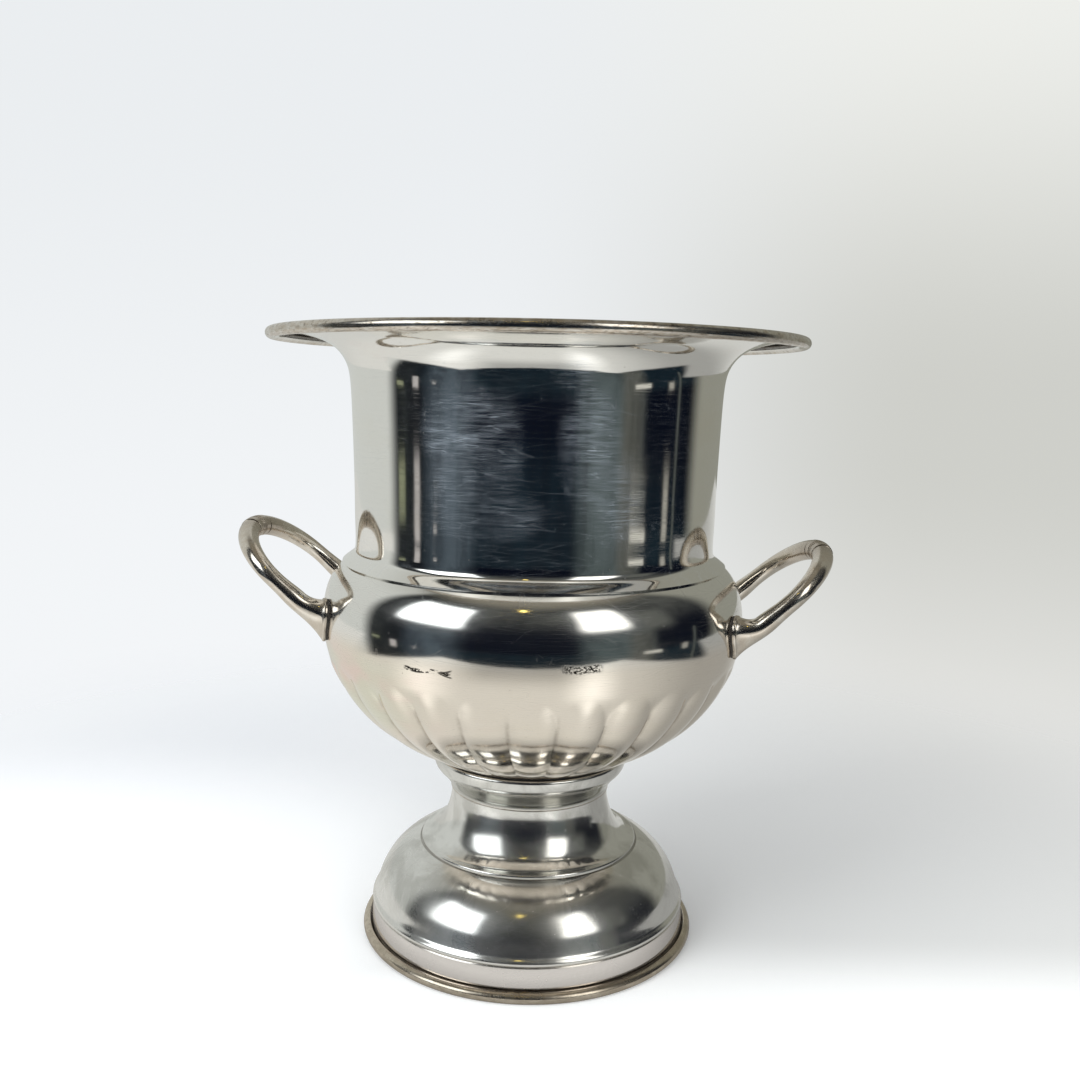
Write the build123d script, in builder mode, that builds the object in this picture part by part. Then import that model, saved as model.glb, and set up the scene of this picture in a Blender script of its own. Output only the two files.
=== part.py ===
"""Champagne bucket on a pedestal foot: a campana (urn) shaped wine cooler in silver-plated brass sheet.

Frame: millimetres, +Z up, origin on the resting plane at the centre of the foot ring.
The two loop handles stand out along +X and -X.
Profiles are lists of (radius, height) points, drawn on the XZ plane and revolved about Z.
"""

import math
import os

from build123d import *

os.makedirs("parts", exist_ok=True)

# ---------------------------------------------------------------- driving dimensions
SHEET = 0.9  # spun brass sheet
BEAD_R = 2.35  # outside radius of both rolled edges
BEAD_IN_R = BEAD_R - SHEET
FOOT_FLAT = 0.2  # height worn off the underside of the foot's rolled edge
WIRE_GAP = 0.03  # between a wire and the sheet rolled round it

RIM_BEAD_R = 111.4  # centre line of the rim's rolled edge
RIM_TOP_Z = 263.8  # overall height
RIM_BEAD_Z = RIM_TOP_Z - BEAD_R
FOOT_BEAD_R = 71.9  # centre line of the foot's rolled edge
FOOT_BEAD_Z = BEAD_R - FOOT_FLAT

BOWL_MID_Z = 143.0  # height of the bowl's widest circle
BOWL_A = 91.3  # bowl's greatest outside radius
BOWL_B = 69.5  # lower half of the bowl is an ellipse with this half height
BOWL_BASE_Z = 81.8  # underside of the bowl's flat bottom
FLOOR_Z = BOWL_BASE_Z + SHEET
SPIGOT_R = 76.5  # outside radius of the spigot on top of the bowl
SPIGOT_TOP_Z = 178.0
LAP_GAP = 0.08  # solder gap between the wall's flange and the bowl's shoulder

LOBES = 28  # convex lobes round the bowl's lower half
LOBE_TURN = 3.2  # azimuth of the first lobe's crest, degrees
LOBE_TOP_Z = 125.5  # where the lobes have faded out
LOBE_DEPTH = 1.5  # crest to valley
LOBE_RISE = 0.35  # crests stand this far proud of the plain bowl

DOME_C = (39.6, 12.7)  # centre of the foot dome's arc, (radius, height)
DOME_R = 29.1
STEM_GAP = 0.05  # solder gap between the stem's flange and the dome
COLLAR_TOP_Z = 80.6
COLLAR_BORE_R = 34.55
WEB = 1.5  # plate across the top of the collar
WEB_UNDER_Z = COLLAR_TOP_Z - WEB

THREAD_FIT = 0.02  # radial clearance left between a thread and its nut
STUD_R = 4.0
STUD_HOLE_R = 4.2
HEX_R = 7.5  # both nuts, across corners / 2
SEAL_T = 1.2
CAP_WASHER_T = 1.4
SPREADER_T = 2.0
LOCK_WASHER_T = 1.8
FOOT_NUT_H = 6.5
# the centre fastening stacks up from the bowl's floor and down from the collar's web
CAP_NUT_Z = FLOOR_Z + SEAL_T + CAP_WASHER_T
LOCK_WASHER_Z = WEB_UNDER_Z - SPREADER_T - LOCK_WASHER_T
FOOT_NUT_Z = LOCK_WASHER_Z - FOOT_NUT_H

APEX_X = 124.1  # reach of a handle's centre line from the bowl's axis
HANDLE_TILT = math.radians(41.5)  # handle's plane above the horizontal
LOOP_S, LOOP_Y = 27.3, 37.3  # half axes of the loop's rounded end
NECK_S = -38.0  # where the loop runs into its leaf shaped feet
NECK_Y = LOOP_Y + 0.1
NECK_R, CREST_R = 3.15, 4.45  # section radius of a handle at its necks and at its crest
LOOP_SPANS = 24  # spans between the sections a loop is lofted through
PAD_AZ = 22.9  # azimuth of a handle's feet from the X axis, degrees
# the hand fitted handles sit slightly unevenly: height of the feet, height of the outermost point
PAD_Z_RIGHT, APEX_Z_RIGHT = 142.5, 173.6
PAD_Z_LEFT, APEX_Z_LEFT = 144.7, 178.1
# turned grooves each side of a handle's crest: (distance from crest, half width)
GROOVES = ((0.65, 0.256), (1.95, 0.288), (8.2, 0.4))
GROOVE_DEPTH = 0.35
GASKET = 0.8  # packing between a handle foot and the bowl
GASKET_GAP_IN = 0.03  # between packing and bowl
GASKET_GAP_OUT = 0.05  # between packing and handle foot

# distances below ending in _D are measured from the bowl's axis, square to it
LEAF_D = 90.0  # inner face of a leaf foot, before it is cut to the bowl
LEAF_T = 2.2  # straight part of a leaf foot
CUT_D = 88.0  # start of the screw holes in the feet, and of the packing
TAPPED_D = 95.9  # bottom of the screw holes in the feet
SCREW_END_D = 95.4
SCREW_V = 2.2  # handle screws above the middle of their feet
SCREW_R = 1.5
SCREW_HOLE_R = 1.7
HEAD_R, HEAD_H = 3.0, 1.9
SLOT_W, SLOT_DEPTH = 0.8, 0.9
WASHER_R, WASHER_T = 3.9, 0.8
WASHER_D = BOWL_A - SHEET - 0.72 - WASHER_T  # inner face of a handle washer
HEAD_D = WASHER_D - HEAD_H


# ---------------------------------------------------------------- geometry helpers
def polar(centre, radius, degrees):
    """Point at an angle on a circle in the profile plane."""
    angle = math.radians(degrees)
    return (centre[0] + radius * math.cos(angle), centre[1] + radius * math.sin(angle))


def left_offset(points, distance):
    """Points of a path moved by distance to its left."""
    moved = []
    for i, (x, z) in enumerate(points):
        x0, z0 = points[max(i - 1, 0)]
        x1, z1 = points[min(i + 1, len(points) - 1)]
        length = math.hypot(x1 - x0, z1 - z0)
        moved.append((x - (z1 - z0) / length * distance, z + (x1 - x0) / length * distance))
    return moved


def ramp(distance, length):
    """Straight rise from 0 to 1 over length."""
    return min(1.0, max(0.0, distance / length))


def smooth(t):
    return t * t * (3 - 2 * t)


def solid_inside(profile):
    """Solid between the Z axis and a splined profile that runs upward."""
    bottom, top = profile[0], profile[-1]
    with BuildPart() as solid:
        with BuildSketch(Plane.XZ):
            with BuildLine():
                Spline(*profile)
                Polyline(top, (0, top[1]), (0, bottom[1]), bottom)
            make_face()
        revolve(axis=Axis.Z)
    return solid.part


def bead_wire(radius, z):
    """Wire ring inside a rolled edge."""
    with BuildPart() as wire:
        with BuildSketch(Plane.XZ):
            with Locations((radius, z)):
                Circle(BEAD_IN_R - WIRE_GAP)
        revolve(axis=Axis.Z)
    return wire.part


# ---------------------------------------------------------------- bowl shape
def bowl_r(z, inset=0.0):
    """Radius of the lower half of the bowl at height z, its surface moved in by inset."""
    k = (BOWL_MID_Z - z) / (BOWL_B - inset)
    return (BOWL_A - inset) * math.sqrt(max(0.0, 1 - k * k))


# outside of the plain shoulder, from the top of the lobes to the spigot inside the wall
SHOULDER = [
    (bowl_r(LOBE_TOP_Z), LOBE_TOP_Z),
    (90.0, 132.0), (91.05, 138.0), (91.3, 143.0), (91.05, 148.0), (90.35, 152.6),
    (89.15, 156.9), (87.4, 160.6), (85.0, 163.9), (82.4, 166.35), (80.2, 168.05),
    (78.35, 169.5), (77.15, 170.95), (76.65, 172.7), (SPIGOT_R, 175.0),
    (SPIGOT_R, SPIGOT_TOP_Z),
]
LAP_START = 9  # first shoulder point lapped by the wall's flange


def shoulder(distance):
    """Shoulder profile moved outward."""
    points = left_offset(SHOULDER, -distance)
    points[0] = (bowl_r(LOBE_TOP_Z, -distance), LOBE_TOP_Z)
    points[-1] = (SPIGOT_R + distance, SPIGOT_TOP_Z)
    return points


# heights of the sections the lobed half is lofted through, outside and inside
UPPER_LEVELS = [94.5, 100.0, 106.0, 112.0, 117.0, 121.0, 123.8, LOBE_TOP_Z]
LEVELS_OUT = [BOWL_BASE_Z, 82.6, 84.0, 86.5, 90.0] + UPPER_LEVELS
LEVELS_IN = [FLOOR_Z, 83.6, 85.2, 87.5, 90.5] + UPPER_LEVELS


def lobe_depth(z):
    """Depth of the valleys between lobes at height z, shallow at the base and none at the top."""
    top = smooth(ramp(LOBE_TOP_Z - z, 9.0))
    low = ramp(z - BOWL_BASE_Z - 0.3, 9.0)
    return LOBE_DEPTH * top * (0.25 + 0.75 * low * (2 - low))


def lobe_rise(z):
    """How far the crests stand proud at height z, with a short shoulder at the lobes' tops."""
    top = ramp(LOBE_TOP_Z - z, 6.0)
    low = ramp(z - BOWL_BASE_Z - 4.0, 14.0)
    return LOBE_RISE * smooth(top) * smooth(low)


def lobe_arcs(z, inset):
    """For each lobe, a valley point, its crest point and the next valley point at height z."""
    crest = bowl_r(z, inset) + lobe_rise(z)
    valley = crest - lobe_depth(z)
    half = math.pi / LOBES
    arcs = []
    for i in range(LOBES):
        mid = 2 * math.pi * i / LOBES + math.radians(LOBE_TURN)
        stations = ((valley, mid - half), (crest, mid), (valley, mid + half))
        arcs.append([(r * math.cos(angle), r * math.sin(angle)) for r, angle in stations])
    return arcs


def lobed_solid(levels, inset):
    with BuildPart() as solid:
        for z in levels:
            with BuildSketch(Plane.XY.offset(z)):
                with BuildLine():
                    for start, crest, end in lobe_arcs(z, inset):
                        ThreePointArc(start, crest, end)
                make_face()
        loft()
    return solid.part


def foot_axis(azimuth, z):
    """Plane square to the bowl's radius at an azimuth and height, facing outward."""
    c, s = math.cos(math.radians(azimuth)), math.sin(math.radians(azimuth))
    return Plane(origin=(0, 0, z), x_dir=(-s, c, 0), z_dir=(c, s, 0))


# the four handle feet
PAD_AXES = [
    foot_axis(PAD_AZ, PAD_Z_RIGHT),
    foot_axis(-PAD_AZ, PAD_Z_RIGHT),
    foot_axis(180 - PAD_AZ, PAD_Z_LEFT),
    foot_axis(180 + PAD_AZ, PAD_Z_LEFT),
]


def lobed_bowl():
    """Bowl: lobed lower half, plain shoulder, spigot inside the wall."""
    lobes_out = lobed_solid(LEVELS_OUT, 0.0)
    lobes_in = lobed_solid(LEVELS_IN, SHEET)
    shoulder_out = solid_inside(SHOULDER)
    shoulder_in = solid_inside(shoulder(-SHEET))
    with BuildPart() as bowl:
        add(lobes_out)
        add(shoulder_out)
        add(shoulder_in, mode=Mode.SUBTRACT)
        add(lobes_in, mode=Mode.SUBTRACT)
        for plane in PAD_AXES:
            with BuildSketch(plane.offset(80)):
                with Locations((0, SCREW_V)):
                    Circle(SCREW_HOLE_R)
            extrude(amount=20, mode=Mode.SUBTRACT)
        with BuildSketch(Plane.XY.offset(BOWL_BASE_Z - 1)):
            Circle(STUD_HOLE_R)
        extrude(amount=4, mode=Mode.SUBTRACT)
    return bowl.part


# ---------------------------------------------------------------- upper wall
# outside of the wall above the lap, through the flared lip to the rolled rim
WALL = [
    (77.65, 184.0), (77.8, 195.0), (78.15, 210.0), (78.75, 228.0), (79.25, 239.0),
    (79.75, 244.5), (80.65, 248.8), (82.2, 252.2), (84.5, 255.2), (87.6, 257.7),
    (91.4, 259.5), (96.0, 260.9), (101.5, 262.0), (107.0, 262.7),
    (RIM_BEAD_R, RIM_TOP_Z - SHEET),
]


def upper_wall():
    """Flange lapping the shoulder, straight wall, flared lip, rolled rim."""
    inside = left_offset(WALL, SHEET)
    inside[-1] = (RIM_BEAD_R, RIM_TOP_Z)  # the sheet's inner face runs over the top of the bead
    inside = shoulder(LAP_GAP)[LAP_START:] + inside
    outside = shoulder(LAP_GAP + SHEET)[LAP_START:] + WALL
    bead = (RIM_BEAD_R, RIM_BEAD_Z)
    curl_end = -165  # degrees
    with BuildPart() as wall:
        with BuildSketch(Plane.XZ):
            with BuildLine():
                Line(inside[0], outside[0])
                Spline(*outside)
                CenterArc(bead, BEAD_IN_R, 90, curl_end - 90)
                Line(polar(bead, BEAD_IN_R, curl_end), polar(bead, BEAD_R, curl_end))
                CenterArc(bead, BEAD_R, curl_end, 90 - curl_end)
                Spline(*reversed(inside))
            make_face()
        revolve(axis=Axis.Z)
    return wall.part


# ---------------------------------------------------------------- foot
def dome_z(radius, gap=0.0):
    """Height of the foot dome's outside at a radius, its arc's radius grown by gap."""
    return DOME_C[1] + math.sqrt((DOME_R + gap) ** 2 - (radius - DOME_C[0]) ** 2)


DOME_ARC = [polar(DOME_C, DOME_R, 84.5 + (15.0 - 84.5) * i / 10) for i in range(11)]
DOME_OUT = DOME_ARC + [(68.35, 18.3), (68.85, 17.0)]
# small step between the dome and the band above the rolled edge
STEP_OUT = [(69.3, 16.5), (69.95, 15.6), (70.15, 14.85), (69.95, 14.0), (69.45, 13.3)]
BAND_TOP = (69.75, 13.1)
BAND_IN_R = FOOT_BEAD_R - BEAD_R  # inside radius of the band where it meets the rolled edge


def foot_base():
    """Domed base with a rolled edge, flat underneath."""
    dome_in = left_offset(DOME_OUT, -SHEET)
    bead = (FOOT_BEAD_R, FOOT_BEAD_Z)
    curl_end = 102  # degrees
    with BuildPart() as base:
        with BuildSketch(Plane.XZ):
            with BuildLine():
                Spline(*DOME_OUT)
                Line(DOME_OUT[-1], STEP_OUT[0])
                Spline(*STEP_OUT)
                Line(STEP_OUT[-1], BAND_TOP)
                Spline(
                    BAND_TOP, (70.1, 9.5), (BAND_IN_R + SHEET, FOOT_BEAD_Z),
                    tangents=[(0.12, -1), (0, -1)],
                )
                CenterArc(bead, BEAD_IN_R, 180, 180 + curl_end)
                Line(polar(bead, BEAD_IN_R, curl_end), polar(bead, BEAD_R, curl_end))
                CenterArc(bead, BEAD_R, curl_end, -180 - curl_end)
                Spline(
                    (BAND_IN_R, FOOT_BEAD_Z), (69.2, 9.5), (68.7, 13.0), (68.45, 15.2),
                    (67.9, 17.2), dome_in[-3],
                    tangents=[(0, 1), (-0.25, 1)],
                )
                Spline(*reversed(dome_in[:-2]))
                Line(dome_in[0], DOME_OUT[0])
            make_face()
        revolve(axis=Axis.Z)
        with BuildSketch(Plane.XY.offset(-3)):
            Circle(FOOT_BEAD_R + 2 * BEAD_R)
        extrude(amount=3, mode=Mode.SUBTRACT)
    return base.part


STEM_OUT = [
    (47.7, dome_z(47.7) + 1.35),
    (46.0, 42.25), (43.6, 43.55), (41.2, 45.5), (39.2, 48.2), (37.55, 51.3),
    (36.3, 54.7), (35.45, 58.2), (34.95, 61.3), (34.85, 64.3),
]
STEM_IN = [
    (43.2, dome_z(43.2, STEM_GAP)),
    (40.9, 43.9), (38.6, 47.0), (36.6, 50.7), (35.25, 54.4),
    (34.35, 58.1), (33.85, 61.3), (33.7, 64.3),
]


def foot_stem():
    """Trumpet stem, with a flange resting on the dome and a spigot inside the collar."""
    flange_under = (48.3, dome_z(48.3, STEM_GAP))
    flange_side = (48.25, dome_z(48.3) + 0.75)
    with BuildPart() as stem:
        with BuildSketch(Plane.XZ):
            with BuildLine():
                Line(flange_under, flange_side)
                ThreePointArc(flange_side, (48.1, dome_z(48.1) + 1.15), STEM_OUT[0])
                Spline(*STEM_OUT)
                Polyline(STEM_OUT[-1], (34.5, 64.3), (34.5, 69.5), (33.4, 69.5), STEM_IN[-1])
                Spline(*reversed(STEM_IN))
                Spline(STEM_IN[0], (45.6, dome_z(45.6, STEM_GAP)), flange_under)
            make_face()
        revolve(axis=Axis.Z)
    return stem.part


COLLAR_OUT = [(35.25, 65.0), (35.85, 66.9), (37.25, 69.2), (39.2, 71.7), (40.7, 73.3)]
COLLAR_LIP = [
    (41.15, 73.55), (42.2, 75.1), (42.85, 77.0), (43.1, 78.7), (43.0, 79.7),
    (42.5, 80.35), (41.6, COLLAR_TOP_Z),
]
COLLAR_IN = [
    (40.6, WEB_UNDER_Z), (41.3, 77.6), (40.4, 75.3), (38.2, 72.8), (35.9, 70.2),
    (COLLAR_BORE_R, 68.0),
]


def foot_collar():
    """Flared collar with a web across its top."""
    bore_foot = (COLLAR_BORE_R, 64.35)
    with BuildPart() as collar:
        with BuildSketch(Plane.XZ):
            with BuildLine():
                Polyline(bore_foot, (35.05, 64.35), (35.35, 64.6), COLLAR_OUT[0])
                Spline(*COLLAR_OUT)
                Line(COLLAR_OUT[-1], COLLAR_LIP[0])
                Spline(*COLLAR_LIP)
                Polyline(
                    COLLAR_LIP[-1], (STUD_HOLE_R, COLLAR_TOP_Z),
                    (STUD_HOLE_R, WEB_UNDER_Z), COLLAR_IN[0],
                )
                Spline(*COLLAR_IN)
                Line(COLLAR_IN[-1], bore_foot)
            make_face()
        revolve(axis=Axis.Z)
    return collar.part


# ---------------------------------------------------------------- centre fastening
def joint_gasket():
    """Packing between collar and bowl."""
    with BuildPart() as gasket:
        with BuildSketch(Plane.XY.offset(COLLAR_TOP_Z)):
            Circle(41.4)
            Circle(STUD_HOLE_R, mode=Mode.SUBTRACT)
        extrude(amount=BOWL_BASE_Z - COLLAR_TOP_Z)
    return gasket.part


def bowl_seal():
    """Seal on the bowl's floor, rounded at its outer edges."""
    with BuildPart() as seal:
        with BuildSketch(Plane.XY.offset(FLOOR_Z)):
            Circle(14.0)
            Circle(STUD_HOLE_R, mode=Mode.SUBTRACT)
        extrude(amount=SEAL_T)
        fillet(seal.edges().filter_by(GeomType.CIRCLE).sort_by(SortBy.RADIUS)[-2:], 0.4)
    return seal.part


def cap_washer():
    """Washer on the seal, chamfered at its upper outer edge."""
    with BuildPart() as washer:
        with BuildSketch(Plane.XY.offset(FLOOR_Z + SEAL_T)):
            Circle(13.0)
            Circle(STUD_HOLE_R, mode=Mode.SUBTRACT)
        extrude(amount=CAP_WASHER_T)
        top_edges = washer.edges().filter_by(GeomType.CIRCLE).group_by(Axis.Z)[-1]
        chamfer(top_edges.sort_by(SortBy.RADIUS)[-1], 0.4)
    return washer.part


def spreader_plate():
    """Plate under the collar's web, chamfered at its lower outer edge."""
    with BuildPart() as plate:
        with BuildSketch(Plane.XY.offset(WEB_UNDER_Z - SPREADER_T)):
            Circle(24.0)
            Circle(STUD_HOLE_R, mode=Mode.SUBTRACT)
        extrude(amount=SPREADER_T)
        bottom_edges = plate.edges().filter_by(GeomType.CIRCLE).group_by(Axis.Z)[0]
        chamfer(bottom_edges.sort_by(SortBy.RADIUS)[-1], 0.5)
    return plate.part


def lock_washer():
    """Washer cut through on one side by a skewed slit."""
    with BuildPart() as washer:
        with BuildSketch(Plane.XY.offset(LOCK_WASHER_Z)):
            Circle(7.4)
            Circle(STUD_HOLE_R, mode=Mode.SUBTRACT)
            with Locations(Location((5.5, 0), 25)):
                Rectangle(6, 0.7, mode=Mode.SUBTRACT)
        extrude(amount=LOCK_WASHER_T)
    return washer.part


def foot_nut():
    """Hexagon nut with its lower corners turned off."""
    corner_r = HEX_R + 0.1
    with BuildPart() as nut:
        with BuildSketch(Plane.XY.offset(FOOT_NUT_Z)):
            RegularPolygon(HEX_R, 6)
            Circle(STUD_R + THREAD_FIT, mode=Mode.SUBTRACT)
        extrude(amount=FOOT_NUT_H)
        with BuildSketch(Plane.XZ):
            with BuildLine():
                Polyline(
                    (6.5, FOOT_NUT_Z), (corner_r, FOOT_NUT_Z + 0.65), (corner_r, FOOT_NUT_Z),
                    close=True,
                )
            make_face()
        revolve(axis=Axis.Z, mode=Mode.SUBTRACT)
    return nut.part


def cap_nut():
    """Domed hexagon nut inside the bowl."""
    dome_r = 6.2
    dome_foot = (dome_r, CAP_NUT_Z + 6.4)
    dome_top = (0, CAP_NUT_Z + 11.2)
    with BuildPart() as nut:
        with BuildSketch(Plane.XZ):
            with BuildLine():
                Polyline((0, CAP_NUT_Z), (dome_r, CAP_NUT_Z), dome_foot)
                Spline(dome_foot, (4.6, CAP_NUT_Z + 9.6), dome_top, tangents=[(0, 1), (-1, 0)])
                Line(dome_top, (0, CAP_NUT_Z))
            make_face()
        revolve(axis=Axis.Z)
        with BuildSketch(Plane.XY.offset(CAP_NUT_Z)):
            RegularPolygon(HEX_R, 6)
        extrude(amount=6.0)
        with BuildSketch(Plane.XY.offset(CAP_NUT_Z)):
            Circle(STUD_R + THREAD_FIT)
        extrude(amount=8.0, mode=Mode.SUBTRACT)
    return nut.part


def centre_stud():
    bottom_z = LOCK_WASHER_Z - 9.0
    top_z = CAP_NUT_Z + 7.5
    with BuildPart() as stud:
        with BuildSketch(Plane.XY.offset(bottom_z)):
            Circle(STUD_R)
        extrude(amount=top_z - bottom_z)
        chamfer(stud.edges().filter_by(GeomType.CIRCLE), 0.6)
    return stud.part


# ---------------------------------------------------------------- handles
# loop's centre line in its tilted plane: (distance outward from the apex, y)
LOOP = [(NECK_S, -NECK_Y), (-33.0, -NECK_Y), (-LOOP_S, -LOOP_Y)]
for degrees in range(-75, 90, 15):
    angle = math.radians(degrees)
    LOOP.append((-LOOP_S + LOOP_S * math.cos(angle), LOOP_Y * math.sin(angle)))
LOOP += [(-LOOP_S, LOOP_Y), (-33.0, NECK_Y), (NECK_S, NECK_Y)]

# outline of a leaf shaped foot: (across, up)
LEAF = [
    (0, 9.0), (-3.6, 7.6), (-6.0, 3.6), (-5.3, -1.2), (-2.7, -5.6),
    (0, -9.3), (2.7, -5.6), (5.3, -1.2), (6.0, 3.6), (3.6, 7.6),
]
GASKET_LEAF = [(0.93 * across, 0.95 * up) for across, up in LEAF]

TILT_COS, TILT_SIN = math.cos(HANDLE_TILT), math.sin(HANDLE_TILT)
TILT_UP = (-TILT_SIN, 0, TILT_COS)  # square to the handle's plane
BY_LENGTH = dict(position_mode=PositionMode.LENGTH)


def loop_frame(path, t):
    """Plane square to a loop's centre line at the fraction t of its length."""
    here = path.position_at(t * path.length, **BY_LENGTH)
    along = path.tangent_at(t * path.length, **BY_LENGTH)
    return Plane(origin=here, x_dir=TILT_UP, z_dir=along)


def loop_radius(t):
    """Section radius of the loop, thickest at its crest."""
    return NECK_R + (CREST_R - NECK_R) * math.sin(math.pi * t) ** 1.6


def crest_at(path):
    """Length along a loop's centre line at which it crosses the XZ plane."""
    low, high = 0.4 * path.length, 0.6 * path.length
    for _ in range(40):
        mid = (low + high) / 2
        if path.position_at(mid, **BY_LENGTH).Y < 0:
            low = mid
        else:
            high = mid
    return (low + high) / 2


def saddle(distance):
    """Cutter for the handle feet and their packing: the bowl's shoulder moved outward."""
    return solid_inside(shoulder(distance)[1:LAP_START])


def handle(apex_z, pad_z):
    """Cast loop on the +X side, with a grooved crest and leaf shaped feet."""
    loop_plane = Plane(
        origin=(APEX_X, 0, apex_z), x_dir=(TILT_COS, 0, TILT_SIN), z_dir=TILT_UP
    )
    with BuildLine(loop_plane) as centre_line:
        Spline(*LOOP, tangents=[(1, 0), (-1, 0)])
    path = centre_line.edge()
    crest = crest_at(path)
    feet = (foot_axis(-PAD_AZ, pad_z), foot_axis(PAD_AZ, pad_z))
    bowl_cutter = saddle(GASKET + GASKET_GAP_OUT)
    with BuildPart() as casting:
        for i in range(LOOP_SPANS + 1):
            with BuildSketch(loop_frame(path, i / LOOP_SPANS)):
                Circle(loop_radius(i / LOOP_SPANS))
        loft()
        # each foot: a leaf shaped plate, then a blend into the end of the loop
        for plane, t in zip(feet, (0.0, 1.0)):
            with BuildSketch(plane.offset(LEAF_D)):
                with BuildLine():
                    Spline(*LEAF, periodic=True)
                make_face()
            extrude(amount=LEAF_T)
            with BuildSketch(plane.offset(LEAF_D + LEAF_T)):
                with BuildLine():
                    Spline(*LEAF, periodic=True)
                make_face()
            with BuildSketch(loop_frame(path, t)):
                Circle(loop_radius(t))
            loft()
        add(bowl_cutter, mode=Mode.SUBTRACT)
        for plane in feet:
            with BuildSketch(plane.offset(CUT_D)):
                with Locations((0, SCREW_V)):
                    Circle(SCREW_R + THREAD_FIT)
            extrude(amount=TAPPED_D - CUT_D, mode=Mode.SUBTRACT)
        for distance, half_width in GROOVES:
            for side in (-1, 1):
                t = (crest + side * distance) / path.length
                with BuildSketch(loop_frame(path, t)):
                    Circle(loop_radius(t) + 1.5)
                    Circle(loop_radius(t) - GROOVE_DEPTH, mode=Mode.SUBTRACT)
                extrude(amount=half_width, both=True, mode=Mode.SUBTRACT)
    return casting.part


def handle_left():
    """The -X handle, made on the +X side at its own heights and mirrored."""
    casting = handle(APEX_Z_LEFT, PAD_Z_LEFT)
    with BuildPart() as mirrored:
        mirror(casting, about=Plane.YZ)
    return mirrored.part


def handle_gaskets():
    """Leaf shaped packing under each handle foot, curved to the bowl."""
    outer = saddle(GASKET)
    inner = saddle(GASKET_GAP_IN)
    with BuildPart() as gaskets:
        for plane in PAD_AXES:
            with BuildSketch(plane.offset(CUT_D)):
                with BuildLine():
                    Spline(*GASKET_LEAF, periodic=True)
                make_face()
                with Locations((0, SCREW_V)):
                    Circle(SCREW_HOLE_R, mode=Mode.SUBTRACT)
            extrude(amount=6)
        add(outer, mode=Mode.INTERSECT)
        add(inner, mode=Mode.SUBTRACT)
    return gaskets.part


def handle_washers():
    """Washers inside the bowl, under the screw heads."""
    with BuildPart() as washers:
        for plane in PAD_AXES:
            with BuildSketch(plane.offset(WASHER_D)):
                with Locations((0, SCREW_V)):
                    Circle(WASHER_R)
                    Circle(SCREW_HOLE_R, mode=Mode.SUBTRACT)
            extrude(amount=WASHER_T)
    return washers.part


def handle_screws():
    """Slotted screws driven outward from inside the bowl."""
    with BuildPart() as screws:
        for plane in PAD_AXES:
            with BuildSketch(plane.offset(HEAD_D)):
                with Locations((0, SCREW_V)):
                    Circle(HEAD_R)
            extrude(amount=HEAD_H)
            with BuildSketch(plane.offset(WASHER_D)):
                with Locations((0, SCREW_V)):
                    Circle(SCREW_R)
            extrude(amount=SCREW_END_D - WASHER_D)
            with BuildSketch(plane.offset(HEAD_D)):
                with Locations((0, SCREW_V)):
                    Rectangle(2 * HEAD_R + 1, SLOT_W)
            extrude(amount=SLOT_DEPTH, mode=Mode.SUBTRACT)
    return screws.part


# ---------------------------------------------------------------- labels and files
pieces = {
    "upper_wall": upper_wall(),
    "rim_wire": bead_wire(RIM_BEAD_R, RIM_BEAD_Z),
    "lobed_bowl": lobed_bowl(),
    "foot_base": foot_base(),
    "foot_wire": bead_wire(FOOT_BEAD_R, FOOT_BEAD_Z),
    "foot_stem": foot_stem(),
    "foot_collar": foot_collar(),
    "lock_washer": lock_washer(),
    "foot_nut": foot_nut(),
    "cap_nut": cap_nut(),
    "centre_stud": centre_stud(),
    "handle_right": handle(APEX_Z_RIGHT, PAD_Z_RIGHT),
    "handle_left": handle_left(),
    "handle_gaskets": handle_gaskets(),
    "handle_washers": handle_washers(),
    "handle_screws": handle_screws(),
    "joint_gasket": joint_gasket(),
    "bowl_seal": bowl_seal(),
    "cap_washer": cap_washer(),
    "spreader_plate": spreader_plate(),
}
for name, piece in pieces.items():
    piece.label = name
    export_step(piece, f"parts/{name}.step")
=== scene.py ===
# A silver plated bucket: a lobed bowl under a flared neck, on a domed foot, with two loop handles.
# Its axis is Z and its foot rests on z = 0. The handles are at +X (right) and -X (left), and the
# front, towards the camera, is -Y. Sizes are in millimetres and become metres as meshes are made.
import math
from types import SimpleNamespace

import bpy
import numpy as np
from mathutils import Matrix, Vector


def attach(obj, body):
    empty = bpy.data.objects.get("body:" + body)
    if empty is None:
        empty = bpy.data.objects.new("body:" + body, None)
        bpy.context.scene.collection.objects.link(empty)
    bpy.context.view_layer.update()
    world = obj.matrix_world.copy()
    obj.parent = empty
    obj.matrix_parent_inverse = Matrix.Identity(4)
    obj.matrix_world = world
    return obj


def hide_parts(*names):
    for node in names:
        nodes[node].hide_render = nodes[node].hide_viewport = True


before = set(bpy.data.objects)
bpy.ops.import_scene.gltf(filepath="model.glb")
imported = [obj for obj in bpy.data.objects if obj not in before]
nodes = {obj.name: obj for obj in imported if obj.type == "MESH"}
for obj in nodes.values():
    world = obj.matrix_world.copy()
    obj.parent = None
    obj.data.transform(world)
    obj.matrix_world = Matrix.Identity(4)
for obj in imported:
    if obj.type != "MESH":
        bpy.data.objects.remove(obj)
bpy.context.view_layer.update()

MM = 0.001
DEGREES = 57.29578
# camera, floor and lights are turned this far about Z, which brings the right handle nearer
TURN = 0.0396

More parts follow.
